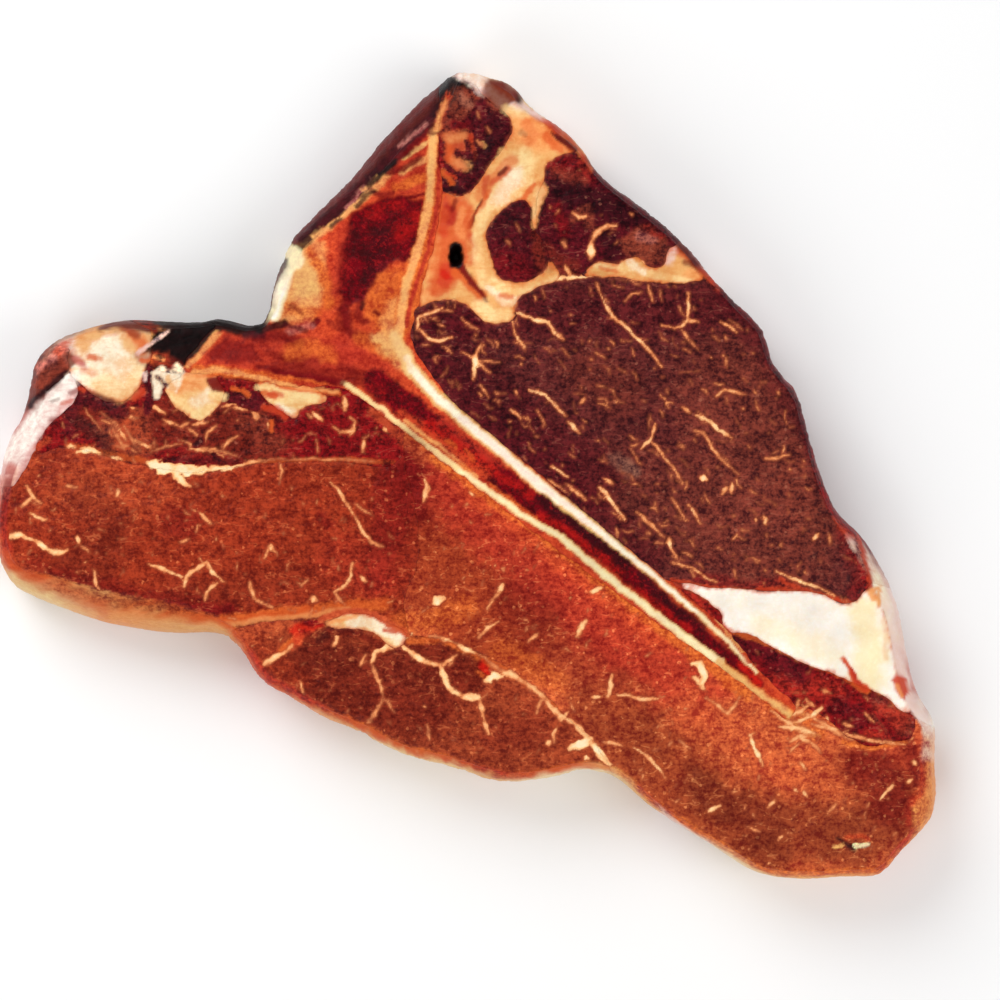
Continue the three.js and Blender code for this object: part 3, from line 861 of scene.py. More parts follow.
        line("plum", 0.95, 0.9, "446,166 452,172 462,178 472,176", 0.4),
        line("orange", 0.8, 0.5, "442,172 448,178 452,184", 0.6),
        line("ember", 0.7, 0.35, "446,173 456,177"),
        line("night", 0.95, 0.6, "446,190 454,188 464,192", 0.4),
        line("orange", 0.7, 0.4, "444,196 454,196"),
    ]),
    "inner_back_muscle": ("plum", [
        line("night", 0.4, 2.5, "500,222 520,214 530,224", 2.0),
        line("garnet", 0.4, 2.4, "502,262 520,268"), line("cocoa", 0.7, 1.2, "536,236 540,256 542,270"),
    ]),
    "outer_back_muscle": ("plum", [
        line("garnet", 0.6, 2.4, "556,162 574,166 586,174"),
        line("umber", 0.5, 1.4, "556,172 574,178 582,182"), line("brick", 0.4, 0.8, "582,164 588,172"),
        line("night", 0.75, 2.6, "560,192 585,198 612,210 640,214", 2.0),
        patch("umber", 0.85, 1.0, "620,242 640,226 654,226 664,240 668,258 652,266 634,262 624,252"),
        line("mauve", 0.3, 1.0, "640,236 652,240"), line("garnet", 0.5, 0.9, "646,228 660,236"),
        line("umber", 0.75, 1.0, "574,218 588,210 590,224"),
        line("night", 0.7, 1.6, "602,236 614,244 612,256", 1.2),
        line("cocoa", 0.6, 1.8, "545,250 556,262 574,268", 1.4),
        line("night", 0.75, 1.6, "590,164 620,188 650,212 680,236 700,256"),
        line("garnet", 0.5, 1.2, "556,208 566,232"), line("apricot", 0.7, 0.3, "566,268 570,276"),
    ]),
    "back_seam_fat": ("gold", [
        line("cream", 0.85, 0.8, "596,264 630,268 660,276 690,282"),
        line("ivory", 0.7, 0.7, "626,258 632,266 644,272"),
        line("ember", 0.8, 2.0, "680,246 696,256 708,270", 1.2),
        line("garnet", 0.7, 0.6, "684,262 694,264"), line("blush", 0.8, 0.9, "672,248 668,262"),
        line("apricot", 0.6, 1.2, "690,272 712,280"), line("orange", 0.6, 0.4, "600,268 616,272"),
    ]),
    "strip_loin": ("wine", [
        line("rosewood", 0.75, 13, "742,410 760,480 772,545"),
        line("rosewood", 0.45, 10, "640,495 690,520", 10), line("umber", 0.3, 5, "588,372 618,392", 5),
        # the grey smoke spot at 616,462 is a painted highlight on the wet meat
        line("umber", 0.22, 5, "800,470 812,520", 5), line("smoke", 0.3, 1.6, "616,462 632,470"),
        line("plum", 0.85, 3.4, "432,318 452,320 470,322", 2.6),
        line("plum", 0.6, 3, "425,345 440,372 470,405 510,440 560,480 610,520 650,556", 3.2),
        line("plum", 0.55, 5, "500,312 560,310 640,312 720,306", 5),
        line("plum", 0.6, 6, "450,350 490,400 540,440 590,480", 6),
        line("night", 0.3, 3, "440,336 470,380 510,420", 4),
        line("plum", 0.45, 2.4, "730,300 760,340 785,390 812,440 838,500", 3),
        line("garnet", 0.55, 2.4, "850,535 868,570 862,592", 2.4),
        line("garnet", 0.5, 1.6, "700,580 745,588 790,586"),
        line("ember", 0.75, 0.35, "672,580 700,586 745,592 780,588 820,595 862,606", 0.5),
        line("ember", 0.7, 0.4, "780,580 812,592 842,602"),
    ]),
    "sliver_muscle": ("garnet", [
        line("brick", 0.5, 0.5, "680,584 700,602 716,622"),
    ]),
    "fat_wedge": ("chalk", [
        line("straw", 0.85, 3.2, "862,612 872,645 868,682"),
        line("straw", 0.45, 2, "760,625 800,640 835,655", 3), line("gold", 0.8, 0.7, "872,592 880,604"),
        line("gold", 0.45, 0.5, "885,620 888,640 886,658", 0.6),
        line("apricot", 0.8, 0.5, "866,586 874,600 878,596"),
        line("gold", 0.5, 0.4, "886,600 892,640 900,672"),
    ]),
    "flank_muscle": ("garnet", [
        line("brick", 0.35, 2.0, "780,680 805,688 835,692", 2.2),
        line("plum", 0.8, 2.8, "742,640 765,650 800,670"),
        line("plum", 0.55, 1.8, "838,706 860,716 850,728"),
        line("umber", 0.6, 2.0, "880,700 900,712 905,726"), line("brick", 0.5, 1.6, "884,708 900,722"),
        line("plum", 0.5, 1.2, "868,694 886,700"),
        line("orange", 0.7, 0.5, "735,632 760,640 800,656 845,676 868,692", 0.6),
        line("brick", 0.6, 0.5, "866,732 890,739", 0.6),
    ]),
    "long_band_muscle": ("rust", [
        line("chestnut", 0.85, 12, "420,500 450,560 500,640", 8),
        line("brick", 0.9, (4, 8), "420,470 480,520 560,590 640,655 690,690", 6),
        line("garnet", 0.8, 4, "402,440 408,470 412,510"),
        line("garnet", 0.5, 5.5, "520,600 560,645 600,685"),
        line("rust", 0.7, 7, "700,720 770,740 850,770"),
        line("brick", 0.6, 4, "870,760 905,750 925,765", 4),
        line("sienna", 0.85, 9, "620,730 680,790 740,830"),
        line("cocoa", 0.6, 7, "770,830 850,835 900,810", 7), line("sienna", 0.7, 6, "590,720 640,740", 5),
        line("garnet", 0.75, 4.5, "862,768 890,782 892,806", 4.5),
        line("cocoa", 0.5, 4, "700,790 730,806", 4), line("garnet", 0.7, 1.6, "908,744 916,762 920,780"),
        line("ember", 0.6, 2.2, "470,492 530,535 600,590 660,640", 2.2),
        line("orange", 0.85, (0.7, 1.4), "400,430 450,470 510,512 570,556 640,612 700,658 745,694"),
        line("orange", 0.7, 1.3, "604,776 640,800 680,836 720,860 760,876 820,880 880,876"),
        # gristle that fans out beyond the end of the bone
        line("gold", 0.7, (0.8, 0.4), "782,712 800,728 818,736"),
        line("apricot", 0.7, 0.4, "772,690 790,704 806,718", 0.5),
        line("orange", 0.6, (1.2, 2.4), "770,700 795,720 815,730", 1.6),
        line("orange", 0.8, 0.6, "845,742 870,748 905,742"),
        line("night", 0.9, (0.2, 0.6), "838,839 846,845 854,849"),
        line("ember", 0.7, 0.5, "846,838 862,836 868,840", 0.6),
        line("apricot", 0.9, 0.3, "834,847 841,846"), line("straw", 0.95, 0.35, "855,846 868,845"),
        line("ember", 0.8, 1.2, "930,772 925,790 918,800"),
        line("brick", 0.6, 0.8, "700,700 712,690 728,694"),
    ]),
    "seam_fat": ("cream", [
        line("ivory", 0.8, 1.2, "352,622 372,622 390,634 402,640"),
    ]),
    "tenderloin": ("sienna", [
        line("liver", 0.85, 9, "320,670 360,690 420,700", 7),
        line("liver", 0.85, 4, "415,645 450,660 470,675", 3), line("cocoa", 0.4, 4, "395,668 430,690", 4),
        line("cocoa", 0.35, 4, "320,650 350,660", 4), line("garnet", 0.3, 4, "500,735 530,730", 4),
        line("chestnut", 0.7, 4, "240,645 265,660 285,680", 3),
        line("rust", 0.4, 1.6, "228,640 260,626 290,622"),
        line("night", 0.55, 0.9, "318,640 332,628 350,628"),
        line("ember", 0.95, (1.4, 0.8), "306,628 298,638 292,646", 0.8),
        line("scarlet", 0.7, (1.4, 1.0), "296,630 308,626 318,624", 0.9),
        line("marrow", 0.8, 0.7, "304,622 312,624 320,622", 0.8),
        line("garnet", 0.7, 0.5, "300,632 308,634", 0.6), line("orange", 0.85, 0.8, "290,643 282,650"),
        line("scarlet", 0.85, 0.7, "484,667 488,670"),
        line("orange", 0.6, 0.6, "410,640 440,640 470,652 500,668 530,684 556,708", 0.7),
    ]),
    "left_fat_pad": ("ivory", [
        line("cream", 0.7, 2.5, "100,385 130,390 140,370", 3), line("ember", 0.6, 0.8, "74,358 80,362"),
        line("orange", 0.6, 0.6, "88,356 94,358"), line("mauve", 0.6, 0.6, "72,352 84,368", 0.7),
        line("orange", 0.7, 0.5, "78,388 100,396 120,402 138,400", 0.6),
        line("orange", 0.6, 0.5, "152,352 146,372 140,392"),
    ]),
    "left_fat_island": ("cream", [
        line("apricot", 0.85, 1.6, "176,386 196,380 214,384"), line("ivory", 0.7, 1.4, "196,402 208,396"),
        line("orange", 0.7, 0.7, "205,372 216,384 226,392"),
    ]),
    "right_fat_island": ("cream", [
        line("apricot", 0.8, 0.9, "262,380 300,382 330,396"), line("orange", 0.8, 0.6, "262,392 276,396"),
        line("ivory", 0.8, 0.9, "278,408 292,412"),
    ]),
    "dried_tissue": ("tar", [
        line("cocoa", 0.6, 1.6, "150,352 166,362 182,366"), line("umber", 0.85, 1.2, "150,356 160,354"),
    ]),
    "left_membrane": ("smoke", [
        patch("umber", 0.8, 1.4, "16,392 30,368 50,350 66,346 66,362 44,376 30,394 14,412"),
        line("night", 0.9, 0.8, "28,402 40,386 56,374 64,370"), line("blush", 0.5, 0.8, "62,350 68,360"),
    ]),
    "left_silverskin": ("blush", [
        # near-white streak down the silverskin: its own pale colour with a painted sheen along the rounded
        # edge
        line("chalk", 0.6, 2, "70,372 45,400 24,430", 2.2),
        line("mauve", 0.5, 1.2, "70,388 56,408 46,430 34,452 18,476 6,496", 1.4),
        line("smoke", 0.35, 0.8, "60,385 52,398", 1.0),
        line("apricot", 0.4, 1.4, "8,470 2,490 -4,510", 1.6),
    ]),
    "upper_band_muscle": ("garnet", [
        line("cocoa", 0.85, 5, "80,405 110,420 128,440", 4),
        line("umber", 0.85, 3, "108,432 134,440 140,420"),
        line("sienna", 0.8, (1.4, 2.2), "128,412 126,428 122,444"),
        line("rust", 0.4, 1.2, "124,430 122,446", 1.6), line("sienna", 0.6, 1.6, "132,410 142,430 148,448"),
        line("cocoa", 0.85, 6, "175,420 215,430 262,440", 5), line("umber", 0.4, 3, "250,420 275,440", 3),
        line("garnet", 0.6, 5, "300,420 345,430 370,440", 4), line("marrow", 0.35, 3, "290,425 315,445", 3),
        line("marrow", 0.4, 2, "320,392 345,398"), line("plum", 0.7, 1.2, "76,404 64,424 72,436"),
        line("orange", 0.5, 0.6, "66,446 100,452 148,462", 0.8),
        line("orange", 0.5, 0.4, "260,464 300,460 350,460 395,462", 0.5),
    ]),
    "left_eye_muscle": ("chestnut", [
        line("cocoa", 0.4, 5, "85,500 110,520 90,560", 5),
        line("rust", 0.25, 7, "40,480 100,470 150,480", 7), line("garnet", 0.5, 3, "175,522 190,524", 3),
        line("garnet", 0.6, 2.4, "30,572 80,585 140,600 200,606", 2.6),
        line("cocoa", 0.3, 3, "180,590 230,590 300,580", 4),
        line("garnet", 0.7, 5, "395,480 396,530 388,570", 5), line("brick", 0.35, 5, "340,560 380,580", 5),
        line("garnet", 0.6, 1.2, "322,518 328,524"), line("garnet", 0.4, 2.0, "56,456 40,480 16,506", 2.4),
        line("garnet", 0.8, 0.8, "60,588 100,600 150,608 200,611 235,609", 1.0),
        line("orange", 0.8, (0.9, 1.2), "200,624 240,618 290,612 340,608 385,604"),
        line("apricot", 0.6, 0.5, "215,627 260,620 310,615 350,610", 0.6),
        line("brick", 0.8, 1.3, "6,548 4,562 14,578"),
    ]),
}

# Details that cross from piece to piece, or lie on the rim: painted last, over every seam.
OVER_SEAMS = [
    # far left: membrane, silverskin and the fat pad's stained rim
    patch("ember", 0.7, 0.8, "50,352 56,341 68,338 67,354 56,356"),
    line("mauve", 0.8, 1.2, "36,367 50,360"),
    # near-white streak on the silverskin: its own pale colour with a painted sheen along the rounded edge
    line("chalk", 0.85, (1.0, 3.0), "74,378 56,398 32,424 10,450", 1.4),
    line("umber", 0.9, 1.8, "68,360 50,370 36,384 20,402", 0.8),
    line("night", 0.95, (0.5, 0.7), "66,372 52,383 38,394 26,404"),
    line("garnet", 0.6, 0.4, "80,388 70,393", 0.5), line("rust", 0.6, 0.45, "72,401 62,403"),
    line("garnet", 0.5, 0.5, "60,416 50,421", 0.6), line("rust", 0.4, 0.6, "46,440 34,448", 0.8),
    line("umber", 0.5, 0.4, "52,401 58,398"), line("gold", 0.9, 1.6, "80,344 86,336 96,331"),
    patch("gold", 0.9, 1.6, "120,328 148,332 146,352 132,354 122,342"),
    line("orange", 0.8, 0.9, "128,332 140,340 144,350", 1.4), line("sienna", 0.8, 0.8, "122,328 136,334"),
    line("cocoa", 0.95, (0.6, 1.5), "98,326 120,322 150,326", 0.8),
    line("mauve", 0.7, 0.5, "74,358 83,363", 0.6), line("orange", 0.5, 0.6, "89,357 99,358"),
    line("orange", 0.4, 0.7, "82,371 92,373"), line("gold", 0.5, 1.2, "100,392 120,398 132,392"),
    patch("tar", 0.95, 0.6, "143,352 166,334 178,340 170,352 150,354"),
    line("blush", 0.9, (0.5, 0.25), "138,353 150,343 168,330"),
    patch("sienna", 0.6, 1.2, "136,354 150,356 166,352 168,362 148,366 138,364"),
    line("orange", 0.8, 0.6, "141,360 149,362"), line("apricot", 0.6, 0.4, "154,357 162,359"),
    line("plum", 0.95, (0.7, 0.9), "148,366 147,382 149,396 148,410", 0.5),
    line("blush", 0.9, 0.4, "144,374 144,380"), line("ember", 0.8, 0.8, "134,398 141,391"),
    line("garnet", 0.9, 0.6, "126,404 140,404"),
    patch("ivory", 0.95, 0.5, "151,372 160,366 170,370 181,380 176,392 168,387 163,382 159,397 154,398"),
    line("gold", 0.8, 0.6, "168,377 173,388"), line("cocoa", 0.9, 0.5, "157,377 166,384"),
    line("ivory", 0.8, 0.9, "176,368 180,372 177,377"), line("garnet", 0.7, 0.5, "166,370 172,366"),
    line("garnet", 0.9, 0.5, "185,370 190,370"), line("plum", 0.85, 1.6, "82,398 104,404 122,412", 0.9),
    line("ember", 0.7, 0.4, "78,388 83,391"), line("night", 0.6, 1.4, "76,420 92,432 108,448"),
    # between the arm, its islands of fat and the band below them
    patch("tar", 0.95, 0.7, "148,318 200,316 226,316 238,324 262,320 262,334 244,336 222,329 210,336 "
                            "196,353 184,364 176,356 178,342 168,330"),
    line("plum", 0.8, 0.8, "246,336 262,336"),
    line("ember", 0.9, (1.0, 0.7), "219,335 207,346 197,358 187,369", 0.6),
    line("apricot", 0.8, (0.7, 0.35), "218,333 206,345 196,357 186,367"),
    line("orange", 0.9, (1.3, 0.9), "196,371 220,371 250,375 290,383", 0.7),
    line("apricot", 0.75, (0.9, 0.3), "194,374 214,370 240,372", 0.6),
    line("garnet", 0.9, (0.4, 0.9), "256,366 290,373 318,377 342,383", 0.5),
    line("marrow", 0.7, 0.4, "270,371 300,376 334,381"),
    line("orange", 0.9, (0.9, 0.3), "236,375 264,381 292,388 322,392 340,394", 0.5),
    line("apricot", 0.8, (0.5, 0.3), "236,373 264,379 292,386 322,391 338,393"),
    patch("garnet", 0.95, 0.5, "205,379 222,377 258,381 256,388 240,386 226,391 214,392"),
    patch("plum", 0.9, 0.5, "227,393 256,390 266,404 262,410 240,406 229,402"),
    line("orange", 0.9, 0.35, "231,389 239,391"), line("orange", 0.85, 0.5, "243,392 249,396"),
    line("cream", 0.9, (1.0, 0.6), "212,396 224,397", 0.6),
    line("cream", 0.9, (0.4, 0.8), "258,386 272,388", 0.5), line("ember", 0.7, 0.6, "270,394 282,395"),
    line("ember", 0.8, 0.7, "264,408 276,408 284,416"), line("orange", 0.9, 0.5, "271,422 272,431"),
    line("night", 0.8, 0.7, "196,444 201,439"), line("night", 0.8, 0.5, "214,456 218,459"),
    line("night", 0.5, 0.5, "165,459 200,461 240,461"),
    # the bone's rough dark edge: purple inside, with pink and orange streaks
    line("plum", 0.75, 1.2, "320,224 340,206 362,184", 0.8),
    line("plum", 0.85, 1.4, "384,166 406,148 430,122", 0.9),
    line("garnet", 0.6, 0.5, "396,158 412,146 428,130"),
    line("mauve", 0.7, 0.4, "398,146 410,137 426,124", 0.5),
    line("mauve", 0.75, 0.4, "346,208 358,194 372,180"),
    line("apricot", 0.85, 0.45, "312,236 330,224 346,214 358,200"),
    line("apricot", 0.8, 0.35, "362,190 372,182 378,176"), line("tar", 0.9, 0.5, "368,184 380,176 396,160"),
    line("night", 0.8, 0.4, "330,226 340,219"), line("night", 0.8, 0.5, "356,206 366,196 374,190"),
    line("straw", 0.9, 1.6, "288,250 294,254 296,262", 1.0),
    # the tip of the bone and the skin over it
    patch("tar", 1.0, 0.5, "437,92 442,76 448,68 454,77 461,83 471,83 473,88 459,91 451,106 446,108 447,92"),
    patch("blush", 0.8, 1.5, "457,74 464,66 480,73 487,84 485,94 480,94 474,86 468,80"),
    patch("chalk", 0.8, 1.1, "459,73 465,67 478,73 484,82 480,86 470,79"),
    patch("umber", 0.8, 1.2, "488,81 500,80 509,92 513,103 501,111 492,108 485,98 484,91"),
    line("smoke", 0.6, 0.9, "490,88 496,98 504,104", 1.0),
    line("blush", 0.85, 0.8, "512,106 526,108 540,114"), line("cream", 0.6, 1.0, "506,110 524,113"),
    patch("umber", 0.6, 1.4, "453,90 470,90 476,100 466,114 455,116"),
    line("ember", 0.7, (0.5, 1.0), "448,94 443,108 439,128"),
    line("apricot", 0.8, (0.3, 0.7), "446,100 441,112 438,128"),
    line("umber", 0.6, 0.7, "450,106 447,126", 0.8), line("umber", 0.7, 0.4, "430,133 447,131"),
    line("garnet", 0.9, (0.3, 0.7), "441,138 440,152 441,166", 0.4),
    line("gold", 0.9, 0.7, "503,150 498,162 489,172"),
    line("apricot", 0.9, (1.0, 0.6), "543,188 537,204 534,226", 0.6),
    line("cream", 0.6, (0.7, 0.3), "541,190 537,203 534,218"),
    # lower left edge, the red patch on the inner back muscle and the joint of the bone's arms
    line("garnet", 0.6, 1.1, "50,586 100,599 150,605 200,609 232,607", 1.4),
    line("rust", 0.5, 1.6, "2,556 26,576 58,592 100,608", 1.8),
    patch("brick", 0.7, 1.0, "549,119 560,121 572,134 581,149 570,146 556,134"),
    line("plum", 0.8, (0.3, 0.6), "556,134 566,142 575,149", 0.4),
    patch("gold", 0.6, 1.8, "374,336 396,328 404,350 412,370 400,366 386,352"),
    # right of the fat wedge
    line("garnet", 0.85, 1.0, "850,522 859,540 865,564 868,586"),
    line("ember", 0.7, 0.4, "861,536 867,560 871,586", 0.6),
    line("apricot", 0.85, 0.5, "873,591 881,588 879,604"),
    line("orange", 0.9, (0.3, 1.0), "843,658 849,668 856,680 866,690", 0.5),
    line("ember", 0.95, (0.2, 0.7), "844,660 850,670 857,681 866,690", 0.4),
    line("brick", 0.8, 0.3, "851,669 857,679 862,684"),
    patch("ember", 0.95, 0.8, "893,681 899,674 908,680 911,692 905,700 897,692"),
    line("apricot", 0.7, 0.4, "897,686 903,696", 0.5),
    # torn edge at the outer end, and the meat under the start of the stem
    patch("apricot", 0.6, 1.4, "936,770 943,796 941,818 928,834 915,826 916,808 928,792"),
    line("orange", 0.5, 1.2, "924,804 918,824", 1.4), line("brick", 0.5, 0.7, "912,800 908,822", 0.9),
    line("umber", 0.6, 0.35, "872,714 886,732"),
    line("rust", 0.7, (0.5, 1.6), "372,410 388,424 404,440 424,456", 1.2),
    patch("garnet", 0.55, 3.6, "392,440 410,428 426,448 424,470 400,474 384,462 384,440"),
    line("garnet", 0.4, 2.4, "402,470 412,500 412,530", 2.8),
    line("chestnut", 0.5, 2.4, "416,530 412,560 400,592", 2.8),
    # seam between the tenderloin, the long band and the fat between them
    line("rust", 0.95, (0.6, 0.9), "322,619 338,613 356,611 376,615 390,625 406,633", 0.4),
    line("apricot", 0.8, 0.4, "328,623 342,619 356,617", 0.5), line("rust", 0.9, 0.45, "385,630 396,633"),
    line("liver", 0.95, (0.4, 0.9), "328,632 345,632 358,633 370,639 379,645", 0.4),
    line("scarlet", 0.5, 0.6, "483,664 487,672", 0.8), line("orange", 0.7, 0.4, "478,672 484,676", 0.5),
    line("orange", 0.45, 2.2, "404,622 440,618 466,608", 2.2),
    line("orange", 0.35, 2.2, "500,650 530,664 558,684", 2.4),
]

# Strands of fat that lie in a seam or cross it.
CROSSING_VEINS = [
    vein((1.5, 2.3), 1.0, "148,462 160,466 174,470"), vein((2.2, 1.1), 1.0, "174,470 190,469 212,469"),
    vein((1.2, 0.5), 0.95, "206,469 226,468 244,465"), vein((1.3, 0.7), 1.0, "174,474 182,480 190,486"),
    vein((0.4, 0.3), 0.55, "240,466 252,463 266,460"),
    vein((0.3, 0.35), 0.3, "266,460 300,459 350,460 395,462"),
    vein((0.5, 0.9), 0.95, "76,452 92,450 104,453"), vein((0.9, 0.4), 0.9, "102,453 112,456 122,459"),
    vein(0.7, 0.75, "66,446 74,447"), vein((0.8, 0.6), 0.8, "127,408 138,406 147,404"),
    vein(0.35, 0.2, "84,408 92,420 104,434"), vein(0.3, 0.15, "100,412 112,420 120,432"),
    vein(0.45, 0.3, "112,426 118,438 124,449"), vein(0.4, 0.25, "104,440 116,447 128,446"),
    vein(0.4, 0.25, "124,426 132,440 142,452"), vein(0.45, 0.35, "128,418 138,418"),
    vein(0.5, 0.65, "152,406 165,413"), vein(0.5, 0.65, "233,408 246,409"),
    vein(0.6, 0.7, "252,409 257,418"), vein(0.6, 0.5, "180,427 188,423"), vein(0.5, 0.5, "192,425 208,422"),
    vein(0.5, 0.55, "190,448 206,450 222,456"), vein((0.4, 0.6), 0.5, "428,635 444,639 458,643"),
    vein((0.9, 0.5), 0.8, "456,643 464,648 476,653"), vein((0.4, 0.7), 0.35, "476,653 490,662 500,670"),
    vein((0.8, 0.9), 0.55, "500,671 514,675 524,681"), vein((0.9, 0.7), 0.55, "524,681 540,693 550,705"),
    vein((0.8, 0.7), 0.6, "548,703 560,715 576,724"), vein((0.8, 1.0), 0.75, "574,723 584,734 592,742"),
    vein((0.9, 1.4), 0.95, "590,742 600,753 606,762"), vein((1.1, 0.6), 0.85, "604,761 610,768 615,778"),
    vein((1.5, 1.1), 0.95, "486,679 492,676 502,676"), vein((0.9, 1.4), 1.0, "569,749 578,745 590,739"),
    vein(0.7, 0.7, "562,720 568,712"), vein((0.8, 0.5), 0.9, "534,285 552,279 572,278 592,276"),
    vein(0.4, 0.6, "565,266 571,278"), vein((0.6, 0.9), 0.85, "780,727 798,728 814,734"),
    vein(0.5, 0.7, "786,716 800,711 810,704"), vein(0.55, 0.75, "794,722 812,717 822,707"),
    vein(0.5, 0.6, "798,736 812,744 820,752"), vein(0.45, 0.5, "812,724 830,728 846,738"),
    vein(0.4, 0.5, "776,716 786,722"), vein(0.4, 0.6, "800,699 796,708"),
    vein(0.45, 0.7, "843,733 860,738 880,742 905,745"), vein((0.5, 0.8), 0.7, "772,710 788,722 800,732"),
    vein((0.3, 0.6), 0.55, "806,714 822,722 836,732"), vein(0.4, 0.5, "790,742 800,736 812,737"),
    vein(0.9, 0.9, "585,757 587,758"), vein(0.6, 0.7, "480,672 484,675"),
    vein((0.6, 0.4), 0.9, "404,640 410,634 418,630"),
]

